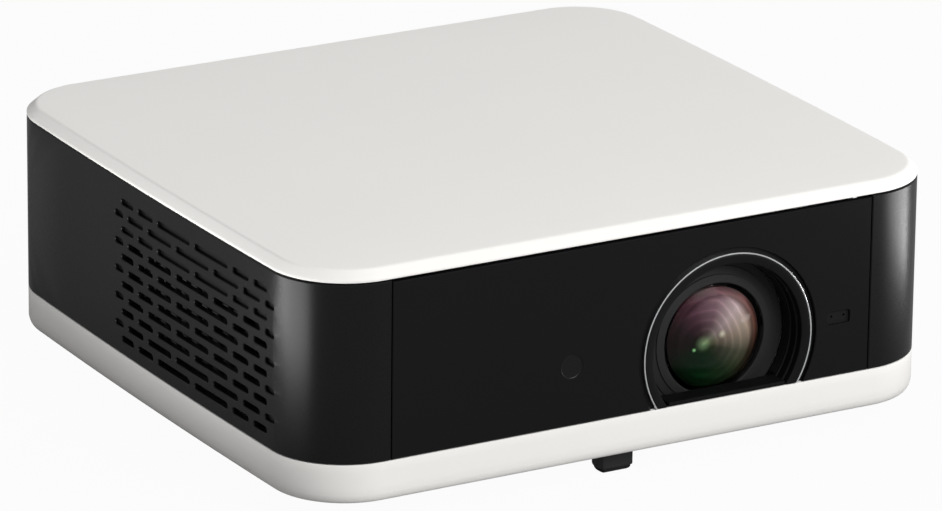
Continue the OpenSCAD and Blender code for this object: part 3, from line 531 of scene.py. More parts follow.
def tint(nodes, links, source, dark, light):
    """Blends two colours by a value."""
    node = nodes.new("ShaderNodeMix")
    node.data_type = "RGBA"
    links.new(source, node.inputs["Factor"])
    node.inputs["A"].default_value = (*dark, 1)
    node.inputs["B"].default_value = (*light, 1)
    return node.outputs["Result"]


def bump(nodes, links, shader, source, strength, distance):
    """Adds fine relief to a shader."""
    node = nodes.new("ShaderNodeBump")
    node.inputs["Strength"].default_value = strength
    node.inputs["Distance"].default_value = distance
    links.new(source, node.inputs["Height"])
    links.new(node.outputs["Normal"], shader.inputs["Normal"])


def shade(colour, factor):
    """A lighter or darker copy of a colour."""
    return tuple(min(1.0, c * factor) for c in colour)


def moulded(name, colour, rough, grain=2600.0, relief=0.12, specular=0.5, mottle=0.05):
    """Moulded plastic: a fine spark-eroded grain and a faint unevenness of tone and gloss."""
    material, nodes, links, shader, where = node_material(name)
    broad = noise(nodes, links, where, 14.0, 2.0)
    fine = noise(nodes, links, where, grain, 2.0)
    links.new(tint(nodes, links, broad, shade(colour, 1 - mottle), shade(colour, 1 + mottle)),
              shader.inputs["Base Color"])
    links.new(spread(nodes, links, fine, rough * 0.88, rough * 1.12), shader.inputs["Roughness"])
    bump(nodes, links, shader, fine, relief, 0.05 * MM)
    shader.inputs["Specular IOR Level"].default_value = specular
    return material


def metal(name, colour, rough, stretch=(1, 1, 12), relief=0.08, scale=900.0):
    """Bare metal: directional scratches in gloss and tone."""
    material, nodes, links, shader, where = node_material(name)
    lines = noise(nodes, links, where, scale, 4.0, stretch)
    links.new(tint(nodes, links, lines, shade(colour, 0.86), shade(colour, 1.08)),
              shader.inputs["Base Color"])
    links.new(spread(nodes, links, lines, rough * 0.75, rough * 1.3), shader.inputs["Roughness"])
    shader.inputs["Metallic"].default_value = 1.0
    bump(nodes, links, shader, lines, relief, 0.03 * MM)
    return material


def rubber(name, colour):
    """Matt rubber with a coarse speckle."""
    return moulded(name, colour, 0.8, grain=1500.0, relief=0.35, specular=0.25, mottle=0.12)


def laminate(name, colour, copper):
    """Circuit board: lacquer over a grid of conductor lanes."""
    material, nodes, links, shader, where = node_material(name)
    cells = nodes.new("ShaderNodeTexVoronoi")
    cells.distance = "MANHATTAN"
    cells.feature = "F1"
    cells.inputs["Scale"].default_value = 260.0
    links.new(where, cells.inputs["Vector"])
    ramp = nodes.new("ShaderNodeValToRGB")
    ramp.color_ramp.interpolation = "CONSTANT"
    ramp.color_ramp.elements[0].color = (*copper, 1)
    ramp.color_ramp.elements[0].position = 0.0
    ramp.color_ramp.elements[1].color = (*colour, 1)
    ramp.color_ramp.elements[1].position = 0.16
    links.new(cells.outputs["Distance"], ramp.inputs["Fac"])
    links.new(ramp.outputs["Color"], shader.inputs["Base Color"])
    fine = noise(nodes, links, where, 700.0, 3.0)
    links.new(spread(nodes, links, fine, 0.28, 0.42), shader.inputs["Roughness"])
    bump(nodes, links, shader, cells.outputs["Distance"], 0.15, 0.04 * MM)
    return material


def foam(name, colour):
    """Open-cell filter foam."""
    material, nodes, links, shader, where = node_material(name)
    cells = nodes.new("ShaderNodeTexVoronoi")
    cells.feature = "DISTANCE_TO_EDGE"
    cells.inputs["Scale"].default_value = 620.0
    links.new(where, cells.inputs["Vector"])
    edge = spread(nodes, links, cells.outputs["Distance"], 0.0, 1.0)
    links.new(tint(nodes, links, edge, shade(colour, 1.5), shade(colour, 0.35)),
              shader.inputs["Base Color"])
    shader.inputs["Roughness"].default_value = 0.95
    bump(nodes, links, shader, cells.outputs["Distance"], 0.8, 0.4 * MM)
    return material


def clear_glass(name, colour, rough=0.006, specular=0.012, bend=1.08):
    """Coated optical glass, with the faintest polish marks in its gloss."""
    material, nodes, links, shader, where = node_material(name)
    fine = noise(nodes, links, where, 240.0, 2.0)
    links.new(spread(nodes, links, fine, rough, rough * 2.2), shader.inputs["Roughness"])
    shader.inputs["Base Color"].default_value = (*colour, 1)
    shader.inputs["Transmission Weight"].default_value = 1.0
    shader.inputs["IOR"].default_value = bend
    shader.inputs["Specular IOR Level"].default_value = specular
    return material


def painted_lens_reflections(name):
    """Painted reflections on the inner lens element: rose above, green below, in fine arcs round a
    point beside the axis, with painted glints and painted shade at its edge.
    """
    material, nodes, links, shader, where = node_material(name)

    def math_node(kind, *values, clamp=False):
        node = nodes.new("ShaderNodeMath")
        node.operation = kind
        node.use_clamp = clamp
        for socket, value in zip(node.inputs, values):
            if isinstance(value, (int, float)):
                socket.default_value = value
            else:
                links.new(value, socket)
        return node.outputs[0]

    def ramp(source, stops):
        node = nodes.new("ShaderNodeValToRGB")
        elements = node.color_ramp.elements
        elements[0].position, elements[0].color = stops[0][0], (*stops[0][1], 1)
        elements[1].position, elements[1].color = stops[-1][0], (*stops[-1][1], 1)
        for position, colour in stops[1:-1]:
            elements.new(position).color = (*colour, 1)
        links.new(source, node.inputs["Fac"])
        return node.outputs["Color"]

    def blend(kind, factor, a, b):
        node = nodes.new("ShaderNodeMix")
        node.data_type = "RGBA"
        node.blend_type = kind
        for label, value in (("Factor", factor), ("A", a), ("B", b)):
            if isinstance(value, (int, float, tuple)):
                node.inputs[label].default_value = value
            else:
                links.new(value, node.inputs[label])
        return node.outputs["Result"]

    def centred(dx, dz):
        """Object coordinates counted from a point beside the lens axis."""
        node = nodes.new("ShaderNodeMapping")
        node.inputs["Location"].default_value = (-(LENS_X + dx), 0, -(LENS_Z + dz))
        links.new(where, node.inputs["Vector"])
        return node.outputs["Vector"]

    def flat_parts(vector):
        split = nodes.new("ShaderNodeSeparateXYZ")
        links.new(vector, split.inputs["Vector"])
        x, z = split.outputs["X"], split.outputs["Z"]
        square = math_node("ADD", math_node("MULTIPLY", x, x), math_node("MULTIPLY", z, z))
        return x, z, math_node("SQRT", square)

    # The point round which the painted reflections circle.
    knot = centred(-6.2 * MM, -0.5 * MM)
    x, z, reach = flat_parts(knot)
    angle = math_node("MULTIPLY_ADD", math_node("ARCTAN2", z, x), 1 / TAU, 0.5)
    # Painted reflection: rose and pale pink above, green below, by angle round the point.
    painted_reflection_hues = ramp(angle, (
        (0.00, (0.030, 0.018, 0.017)), (0.10, (0.010, 0.030, 0.012)),
        (0.25, (0.006, 0.036, 0.012)), (0.36, (0.020, 0.040, 0.018)),
        (0.45, (0.080, 0.080, 0.050)), (0.53, (0.40, 0.31, 0.24)),
        (0.60, (0.60, 0.46, 0.46)), (0.68, (0.27, 0.16, 0.19)),
        (0.78, (0.13, 0.055, 0.08)), (0.90, (0.040, 0.022, 0.026)),
        (1.00, (0.030, 0.018, 0.017))))
    # Painted reflection: green at the point, brighter outwards, then reddening and fading towards the
    # edge.
    inner = ramp(math_node("DIVIDE", reach, 26 * MM), (
        (0.0, (0.10, 0.18, 0.08)), (0.10, (0.13, 0.19, 0.12)), (0.26, (0.20, 0.20, 0.20)),
        (0.52, (0.40, 0.40, 0.40)), (0.72, (0.54, 0.54, 0.54)), (0.90, (0.26, 0.19, 0.18)),
        (1.0, (0.06, 0.03, 0.03))))
    colour = blend("MULTIPLY", 1.0, painted_reflection_hues, inner)
    # Painted reflection: thin bright arcs round the point, as from the lens's inner faces.
    wave = nodes.new("ShaderNodeTexWave")
    wave.wave_type = "RINGS"
    wave.rings_direction = "Y"
    wave.inputs["Scale"].default_value = 88.0
    wave.inputs["Distortion"].default_value = 5.0
    wave.inputs["Detail"].default_value = 4.0
    wave.inputs["Detail Scale"].default_value = 0.7
    links.new(knot, wave.inputs["Vector"])
    painted_reflection_streaks = ramp(wave.outputs["Fac"], (
        (0.0, (0.55, 0.55, 0.55)), (0.55, (0.85, 0.85, 0.85)), (0.8, (1.0, 1.0, 1.0)),
        (1.0, (1.9, 1.8, 1.85))))
    colour = blend("MULTIPLY", 0.27, colour, painted_reflection_streaks)
    # Painted shade: darker towards the element's edge, with a thin dark ring just inside it.
    _, _, rim_reach = flat_parts(centred(0.0, 0.0))
    rim = ramp(math_node("DIVIDE", rim_reach, 20 * MM), (
        (0.0, (1, 1, 1)), (0.72, (1, 1, 1)), (0.80, (0.5, 0.45, 0.45)),
        (0.84, (0.75, 0.6, 0.6)), (1.0, (0.22, 0.14, 0.14))))
    colour = blend("MULTIPLY", 1.0, colour, rim)
    # Painted glints: small bright spots added to the colour.
    for dx, dz, size, glow in ((-9.4, -2.4, 0.9, (0.28, 0.62, 0.26, 1)),
                               (1.6, 2.3, 2.0, (0.26, 0.27, 0.19, 1)),
                               (-6.0, -0.3, 3.6, (0.10, 0.16, 0.08, 1))):
        _, _, away = flat_parts(centred(dx * MM, dz * MM))
        painted_glint = math_node("SUBTRACT", 1.0, math_node("DIVIDE", away, size * MM), clamp=True)
        colour = blend("ADD", math_node("POWER", painted_glint, 1.6), colour, glow)
    links.new(colour, shader.inputs["Base Color"])
    shader.inputs["Roughness"].default_value = 0.12
    shader.inputs["Specular IOR Level"].default_value = 0.06
    return material


FINISHES = {}


def build_finishes():
    """One material for each slot of the record."""
    c = colours()
    FINISHES.update({
        "warm_white_shell": moulded("warm_white_shell", c.shell, 0.55, 3000, 0.05, 0.2, 0.012),
        "satin_black_band": moulded("satin_black_band", c.band, 0.30, 2800, 0.05, 0.13, 0.06),
        "front_fascia": moulded("front_fascia", c.fascia, 0.22, 2200, 0.02, 0.12, 0.05),
        "rear_fascia": moulded("rear_fascia", c.band, 0.42, 2600, 0.10, 0.30, 0.06),
        "bright_trim": metal("bright_trim", (0.85, 0.86, 0.87), 0.2, (1, 6, 1), 0.02),
        "dark_recess": moulded("dark_recess", (0.0035, 0.0035, 0.0038), 0.5, 2400, 0.06, 0.10),
        "grey_bezel": moulded("grey_bezel", c.bezel, 0.55, 2400, 0.08, 0.20),
        "dark_window": moulded("dark_window", (0.0065, 0.0065, 0.007), 0.32, 900, 0.01, 0.15),
        "window_insert": moulded("window_insert", (0.0055, 0.0055, 0.006), 0.5, 2400, 0.05, 0.1),
        "circuit_board": laminate("circuit_board", (0.012, 0.085, 0.04), (0.10, 0.16, 0.05)),
        "barrel_black": moulded("barrel_black", (0.012, 0.012, 0.013), 0.6, 1800, 0.1, 0.3),
        "coated_glass": clear_glass("coated_glass", (0.96, 0.97, 0.97)),
        "gear_plastic": moulded("gear_plastic", (0.05, 0.05, 0.055), 0.5, 1800, 0.1, 0.4),
        "pinion_plastic": moulded("pinion_plastic", (0.70, 0.66, 0.55), 0.45, 1800, 0.08, 0.4),
        "motor_can": metal("motor_can", (0.55, 0.56, 0.57), 0.28, (1, 14, 1)),
        "cast_engine": metal("cast_engine", (0.22, 0.225, 0.235), 0.5, (1, 1, 1), 0.35, 420.0),
        "prism_glass": clear_glass("prism_glass", (0.86, 0.93, 0.95), 0.01, 0.5, 1.5),
        "image_panel": metal("image_panel", (0.10, 0.25, 0.46), 0.12, (1, 1, 1), 0.02),
        "lamp_block": metal("lamp_block", (0.42, 0.37, 0.29), 0.36, (10, 1, 1)),
        "fin_aluminium": metal("fin_aluminium", (0.66, 0.67, 0.68), 0.30, (1, 1, 16)),
        "copper_pipe": metal("copper_pipe", (0.80, 0.40, 0.24), 0.26, (1, 10, 1)),
        "fan_plastic": moulded("fan_plastic", (0.012, 0.012, 0.012), 0.5, 1800, 0.12, 0.3),
        "rotor_plastic": moulded("rotor_plastic", (0.008, 0.008, 0.009), 0.42, 1800, 0.1, 0.3),
        "filter_foam": foam("filter_foam", (0.016, 0.0165, 0.017)),
        "speaker_case": moulded("speaker_case", (0.02, 0.02, 0.021), 0.55, 1600, 0.15, 0.3),
        "speaker_paper": rubber("speaker_paper", (0.012, 0.012, 0.0125)),
        "board_parts": moulded("board_parts", (0.022, 0.022, 0.025), 0.4, 1200, 0.1, 0.4),
        "power_board": laminate("power_board", (0.30, 0.20, 0.06), (0.42, 0.30, 0.12)),
        "socket_metal": metal("socket_metal", (0.58, 0.58, 0.60), 0.24, (1, 14, 1)),
        "socket_plastic": moulded("socket_plastic", (0.010, 0.010, 0.011), 0.45, 2000, 0.1, 0.3),
        "button_plastic": moulded("button_plastic", (0.022, 0.022, 0.024), 0.34, 2400, 0.06, 0.4),
        "light_pipe": moulded("light_pipe", (0.72, 0.78, 0.82), 0.12, 600, 0.02, 0.5),
        "foot_plastic": moulded("foot_plastic", (0.018, 0.018, 0.0195), 0.5, 2200, 0.12, 0.35),
        "foot_rubber": rubber("foot_rubber", (0.010, 0.010, 0.010)),
        "brass_insert": metal("brass_insert", (0.66, 0.47, 0.18), 0.24, (1, 1, 14)),
        "steel_screw": metal("steel_screw", (0.46, 0.47, 0.49), 0.26, (8, 1, 1)),
    })


# ---------------------------------------------------------------- geometry nodes

def new_tree(name, inputs):
    """A geometry node tree with one mesh input, named float inputs and a mesh output."""
    tree = bpy.data.node_groups.new(name, "GeometryNodeTree")
    tree.interface.new_socket("Geometry", in_out="INPUT", socket_type="NodeSocketGeometry")
    for label, default in inputs:
        kind = "NodeSocketInt" if isinstance(default, int) else "NodeSocketFloat"
        socket = tree.interface.new_socket(label, in_out="INPUT", socket_type=kind)
        socket.default_value = default
    tree.interface.new_socket("Geometry", in_out="OUTPUT", socket_type="NodeSocketGeometry")
    return tree, tree.nodes.new("NodeGroupInput"), tree.nodes.new("NodeGroupOutput")


def finish_tree(tree, out, geometry, material):
    """Ends a tree in real geometry with its material."""
    realize = tree.nodes.new("GeometryNodeRealizeInstances")
    paint = tree.nodes.new("GeometryNodeSetMaterial")
    paint.inputs["Material"].default_value = material
    tree.links.new(geometry, realize.inputs["Geometry"])
    tree.links.new(realize.outputs["Geometry"], paint.inputs["Geometry"])
    tree.links.new(paint.outputs["Geometry"], out.inputs["Geometry"])


def grow(name, host_points, tree, values):
    """Runs a tree on a mesh of loose points and returns the result as a plain mesh object."""
    mesh = bpy.data.meshes.new(name + "_points")
    mesh.from_pydata([tuple(p) for p in host_points], [], [])
    host = bpy.data.objects.new(name + "_host", mesh)
    bpy.context.collection.objects.link(host)
    modifier = host.modifiers.new("Grow", "NODES")
    modifier.node_group = tree
    names = {item.name: item.identifier for item in tree.interface.items_tree
             if item.in_out == "INPUT"}
    for label, value in values.items():
        modifier[names[label]] = value
    graph = bpy.context.evaluated_depsgraph_get()
    result = bpy.data.meshes.new_from_object(host.evaluated_get(graph), depsgraph=graph)
    result.name = name
    bpy.data.objects.remove(host)
    obj = bpy.data.objects.new(name, result)
    bpy.context.collection.objects.link(obj)
    return obj


def screw_tree(material, up):
    """Screws with a flat round head and a cross recess, standing on points. up is 1 or -1."""
    tree, source, out = new_tree("Screws", [("Head radius", 2.8 * MM), ("Head height", 1.8 * MM),
                                            ("Shank radius", 1.5 * MM), ("Length", 7 * MM),
                                            ("Recess", 0.8 * MM)])
    nodes, links = tree.nodes, tree.links

    def value(kind, a, b):
        node = nodes.new("ShaderNodeMath")
        node.operation = kind
        for socket, given in ((node.inputs[0], a), (node.inputs[1], b)):
            if isinstance(given, (int, float)):
                socket.default_value = given
            else:
                links.new(given, socket)
        return node.outputs[0]

    def cylinder(radius, depth, shift, sides):
        node = nodes.new("GeometryNodeMeshCylinder")
        node.inputs["Vertices"].default_value = sides
        links.new(radius, node.inputs["Radius"])
        links.new(depth, node.inputs["Depth"])
        move = nodes.new("GeometryNodeTransform")
        offset = nodes.new("ShaderNodeCombineXYZ")
        links.new(shift, offset.inputs["Z"])
        links.new(node.outputs["Mesh"], move.inputs["Geometry"])
        links.new(offset.outputs["Vector"], move.inputs["Translation"])
        return move.outputs["Geometry"]

    head_h, head_r = source.outputs["Head height"], source.outputs["Head radius"]
    shank_r, length = source.outputs["Shank radius"], source.outputs["Length"]
    head = cylinder(head_r, head_h, value("MULTIPLY", head_h, -0.5 * up), 32)
    shank = cylinder(shank_r, value("ADD", length, head_h),
                     value("MULTIPLY", value("SUBTRACT", length, head_h), 0.5 * up), 20)
    bars = nodes.new("GeometryNodeJoinGeometry")
    for turn in (0.0, math.pi / 2):
        bar = nodes.new("GeometryNodeMeshCube")
        size = nodes.new("ShaderNodeCombineXYZ")
        links.new(value("MULTIPLY", head_r, 1.25), size.inputs["X"])
        links.new(source.outputs["Recess"], size.inputs["Y"])
        links.new(head_h, size.inputs["Z"])
        links.new(size.outputs["Vector"], bar.inputs["Size"])
        place = nodes.new("GeometryNodeTransform")
        offset = nodes.new("ShaderNodeCombineXYZ")
        links.new(value("MULTIPLY", head_h, -1.05 * up), offset.inputs["Z"])
        links.new(bar.outputs["Mesh"], place.inputs["Geometry"])
        links.new(offset.outputs["Vector"], place.inputs["Translation"])
        place.inputs["Rotation"].default_value = (0, 0, turn)
        links.new(place.outputs["Geometry"], bars.inputs["Geometry"])
    body = nodes.new("GeometryNodeMeshBoolean")
    body.operation = "UNION"
    links.new(head, body.inputs["Mesh 2"])
    links.new(shank, body.inputs["Mesh 2"])
    carve = nodes.new("GeometryNodeMeshBoolean")
    carve.operation = "DIFFERENCE"
    links.new(body.outputs["Mesh"], carve.inputs["Mesh 1"])
    links.new(bars.outputs["Geometry"], carve.inputs["Mesh 2"])
    scatter = nodes.new("GeometryNodeInstanceOnPoints")
    links.new(source.outputs["Geometry"], scatter.inputs["Points"])
    links.new(carve.outputs["Mesh"], scatter.inputs["Instance"])
    finish_tree(tree, out, scatter.outputs["Instances"], material)
    return tree


def bar_tree(material):
    """Straight bars of one size, one on each point, such as pleats, fins or foot ribs."""
    tree, source, out = new_tree("Bars", [("Width", 1 * MM), ("Depth", 1 * MM),
                                          ("Height", 1 * MM)])
    bar = tree.nodes.new("GeometryNodeMeshCube")
    size = tree.nodes.new("ShaderNodeCombineXYZ")
    for label, axis in (("Width", "X"), ("Depth", "Y"), ("Height", "Z")):
        tree.links.new(source.outputs[label], size.inputs[axis])
    tree.links.new(size.outputs["Vector"], bar.inputs["Size"])
    scatter = tree.nodes.new("GeometryNodeInstanceOnPoints")
    tree.links.new(source.outputs["Geometry"], scatter.inputs["Points"])
    tree.links.new(bar.outputs["Mesh"], scatter.inputs["Instance"])
    finish_tree(tree, out, scatter.outputs["Instances"], material)
    return tree


def ridge_tree(material):
    """Fine rings round the lens axis, one on each point."""
    tree, source, out = new_tree("Ridges", [("Radius", 29.5 * MM), ("Thickness", 0.3 * MM)])
    circle = tree.nodes.new("GeometryNodeCurvePrimitiveCircle")
    circle.inputs["Resolution"].default_value = 128
    section = tree.nodes.new("GeometryNodeCurvePrimitiveCircle")
    section.inputs["Resolution"].default_value = 6
    sweep = tree.nodes.new("GeometryNodeCurveToMesh")
    stand = tree.nodes.new("GeometryNodeTransform")
    stand.inputs["Rotation"].default_value = (math.pi / 2, 0, 0)
    scatter = tree.nodes.new("GeometryNodeInstanceOnPoints")
    tree.links.new(source.outputs["Radius"], circle.inputs["Radius"])
    tree.links.new(source.outputs["Thickness"], section.inputs["Radius"])
    tree.links.new(circle.outputs["Curve"], sweep.inputs["Curve"])
    tree.links.new(section.outputs["Curve"], sweep.inputs["Profile Curve"])
    tree.links.new(sweep.outputs["Mesh"], stand.inputs["Geometry"])
    tree.links.new(source.outputs["Geometry"], scatter.inputs["Points"])
    tree.links.new(stand.outputs["Geometry"], scatter.inputs["Instance"])
    finish_tree(tree, out, scatter.outputs["Instances"], material)
    return tree


# ---------------------------------------------------------------- stage

class PROJECTOR_OT_stage(bpy.types.Operator):
    """Adds the camera, the soft lights, the floor and the pale world"""

    bl_idname = "projector.stage"
    bl_label = "Camera, lights and floor"

    AZIMUTH, ELEVATION, ROLL = -29.853, 19.114, 0.629
    DISTANCE, FOCAL, SENSOR = 2.6129, 271.0, 36
    NEAR, FAR = 0.1, 50
    AIM = Vector((2.1 * MM, 0, 48.1 * MM))
    # Each large lamp's name, place, size and power
    LAMPS = (("key_light", (0.5, -1.92, 1.33), (1.5, 1.1), 50.0),
             ("top_light", (0.5, 0.6, 2.1), (1.6, 1.6), 8.0))
    # Each card's name, side and place behind the front face
    CARDS = (("left_card", -1, 0.075), ("right_card", 1, -0.09))
    CARD_REACH, CARD_LEVEL, CARD_POWER = 0.33, 0.012, 1.5
    CARD_WIDTH, CARD_LENGTH = 0.20, 0.14
    WHITE, AMBIENT, FLOOR_TONE = (1, 1, 1, 1), (0.35, 0.35, 0.355, 1), (0.36, 0.36, 0.36, 1)
    # How much of the white each kind of ray sees
    WORLD_SHARES = (("Is Camera Ray", 1.0), ("Is Glossy Ray", 0.35), ("Is Transmission Ray", 1.0))
    FLOOR_SHARES = (("Is Camera Ray", 0.96), ("Is Glossy Ray", 0.1), ("Is Transmission Ray", 0.9))
    FLOOR_ROUGH, FLOOR_HALF = 0.9, 6

    def execute(self, context):
        scene = context.scene
        scene.view_settings.view_transform = "Standard"
        self.camera(scene)
        for name, place, size, power in self.LAMPS:
            self.lamp(name, place, size, power, self.AIM)
        for name, side, behind in self.CARDS:
            self.card(name, side, behind)
        self.world(scene)
        self.floor()
        return {"FINISHED"}

    def camera(self, scene):
        a, e, r = (math.radians(v) for v in (self.AZIMUTH, self.ELEVATION, self.ROLL))
        back = Vector((math.sin(a) * math.cos(e), -math.cos(a) * math.cos(e), math.sin(e)))
        level = Vector((math.cos(a), math.sin(a), 0))
        up = back.cross(level)
        right = level * math.cos(r) + up * math.sin(r)
        up = up * math.cos(r) - level * math.sin(r)
        data = bpy.data.cameras.new("camera")
        data.lens = self.FOCAL
        data.sensor_width = self.SENSOR
        data.clip_start, data.clip_end = self.NEAR, self.FAR
        camera = bpy.data.objects.new("camera", data)
        bpy.context.collection.objects.link(camera)
        turn = Matrix((right, up, back)).transposed().to_4x4()
        camera.matrix_world = Matrix.Translation(self.AIM + back * self.DISTANCE) @ turn
        scene.camera = camera

    def lamp(self, name, place, size, power, target):
        data = bpy.data.lights.new(name, "AREA")
        data.shape = "RECTANGLE"
        data.size, data.size_y = size
        data.energy = power
        lamp = bpy.data.objects.new(name, data)
        bpy.context.collection.objects.link(lamp)
        lamp.location = place
        aim = target - Vector(place)
        lamp.rotation_mode = "QUATERNION"
        lamp.rotation_quaternion = aim.to_track_quat("-Z", "Y")

    def card(self, name, side, behind):
        """A small low lamp beside a front corner, whose reflection draws the upright streak."""
        place = Vector((side * self.CARD_REACH, FRONT_Y + behind, self.CARD_LEVEL))
        self.lamp(name, place, (self.CARD_LENGTH, self.CARD_WIDTH), self.CARD_POWER,
                  place + Vector((0, 0, 1)))

    def world(self, scene):
        world = bpy.data.worlds.new("studio")
        scene.world = world
        world.use_nodes = True
        nodes, links = world.node_tree.nodes, world.node_tree.links
        shown = nodes["Background"]
        shown.inputs["Color"].default_value = self.WHITE
        ambient = nodes.new("ShaderNodeBackground")
        ambient.inputs["Color"].default_value = self.AMBIENT
        path = nodes.new("ShaderNodeLightPath")
        both = self.seen(nodes, links, path, self.WORLD_SHARES)
        mix = nodes.new("ShaderNodeMixShader")
        links.new(both, mix.inputs["Fac"])
        links.new(ambient.outputs[0], mix.inputs[1])
        links.new(shown.outputs[0], mix.inputs[2])
        links.new(mix.outputs[0], nodes["World Output"].inputs["Surface"])

    @staticmethod
    def seen(nodes, links, path, shares):
        """How much of the white background each kind of ray sees."""
        total = None
        for ray, share in shares:
            part = nodes.new("ShaderNodeMath")
            part.operation = "MULTIPLY"
            part.inputs[1].default_value = share
            links.new(path.outputs[ray], part.inputs[0])
            if total is None:
                total = part.outputs[0]
                continue
            node = nodes.new("ShaderNodeMath")
            node.operation = "MAXIMUM"
            links.new(total, node.inputs[0])
            links.new(part.outputs[0], node.inputs[1])
            total = node.outputs[0]
        return total

    def floor(self):
        material, nodes, links, shader, _ = node_material("floor")
        shader.inputs["Base Color"].default_value = self.FLOOR_TONE
        shader.inputs["Roughness"].default_value = self.FLOOR_ROUGH
        shader.inputs["Specular IOR Level"].default_value = 0.0
        glow = nodes.new("ShaderNodeEmission")
        glow.inputs["Color"].default_value = self.WHITE
        path = nodes.new("ShaderNodeLightPath")
        share = self.seen(nodes, links, path, self.FLOOR_SHARES)
        mix = nodes.new("ShaderNodeMixShader")
        links.new(share, mix.inputs["Fac"])
        links.new(shader.outputs[0], mix.inputs[1])
        links.new(glow.outputs[0], mix.inputs[2])
        links.new(mix.outputs[0], nodes["Material Output"].inputs["Surface"])
        bm = bmesh.new()
        bmesh.ops.create_grid(bm, x_segments=1, y_segments=1, size=self.FLOOR_HALF)
        floor = to_object(bm, "floor", [material])
        floor.data.transform(Matrix.Translation((0, 0, CAD_LOW.z)))


# ---------------------------------------------------------------- shells

def arc_profile(start, end, corner_inset, corner_z, steps):
    """Points (inset, level) on a curve from start to end that leans towards a corner."""
    points = []
    for k in range(steps + 1):
        t = k / steps
        shares = ((1 - t) ** 2, 2 * t * (1 - t), t ** 2)
        ends = zip(start, (corner_inset, corner_z), end)
        points.append(tuple(sum(a * p for a, p in zip(shares, row)) for row in ends))
    return points


class PROJECTOR_OT_cover(bpy.types.Operator):
    """Builds the pale cover with its sloped rim and softly raised middle"""

    bl_idname = "projector.cover"
    bl_label = "Top cover"

    LIP, SKIRT, BLEND, BLEND_START = 0.35 * MM, 1.0 * MM, 1.1 * MM, 0.6
    INNER_LOW, INNER_HIGH = 1.4 * MM, 1.6 * MM
    # The curved foot of the rim: its start inset, its end inset, and the levels below it
    FOOT_START, FOOT_END, FOOT_LOW, FOOT_HIGH = 0.02 * MM, 0.5 * MM, 0.7 * MM, 0.8 * MM
    EASE = 0.01 * MM
    CROWN_RINGS, CROWN_SHAPE = 15, 0.75

    def execute(self, context):
        s = sizes()
        plan = Plan()
        lip, blend, run = self.LIP, self.BLEND, s.rim_run
        rim_top = COVER_TOP - s.crown
        slope = (rim_top - COVER_LOW - self.SKIRT) / run
        profile = [(s.wall + run, COVER_LOW + self.INNER_HIGH),
                   (s.wall, COVER_LOW + self.INNER_LOW), (s.wall, COVER_LOW), (lip, COVER_LOW)]
        profile += arc_profile((lip, COVER_LOW), (0.0, COVER_LOW + lip), 0.0, COVER_LOW, 3)[1:]
        profile.append((0.0, COVER_LOW + self.FOOT_LOW))
        skirt_top = COVER_LOW + self.SKIRT
        profile += arc_profile((self.FOOT_START, COVER_LOW + self.FOOT_HIGH),
                               (self.FOOT_END, skirt_top + self.FOOT_END * slope),
                               0.0, skirt_top, 4)
        knee = blend * self.BLEND_START
        profile += arc_profile((run - knee, rim_top - knee * slope),
                               (run + blend, rim_top + self.EASE), run, rim_top, 7)
        profile.append((run + 2 * blend, rim_top + 3 * self.EASE))
        rings = [plan.ring(inset, z) for inset, z in profile]
        base = rings[-1]
        base_z = base[0].z
        for k in range(1, self.CROWN_RINGS):
            scale = math.cos(math.pi / 2 * k / self.CROWN_RINGS)
            z = base_z + (COVER_TOP - base_z) * (1 - scale ** 2) ** self.CROWN_SHAPE
            rings.append([Vector((p.x * scale, p.y * scale, z)) for p in base])
        bm = bmesh.new()
        loft(bm, rings)
        outward(bm)
        obj = to_object(bm, "cover_shell", [FINISHES["warm_white_shell"]], SHELL_SHARP)
        settle(obj, HOUSING, "warm_white_shell", "top_cover")
        return {"FINISHED"}


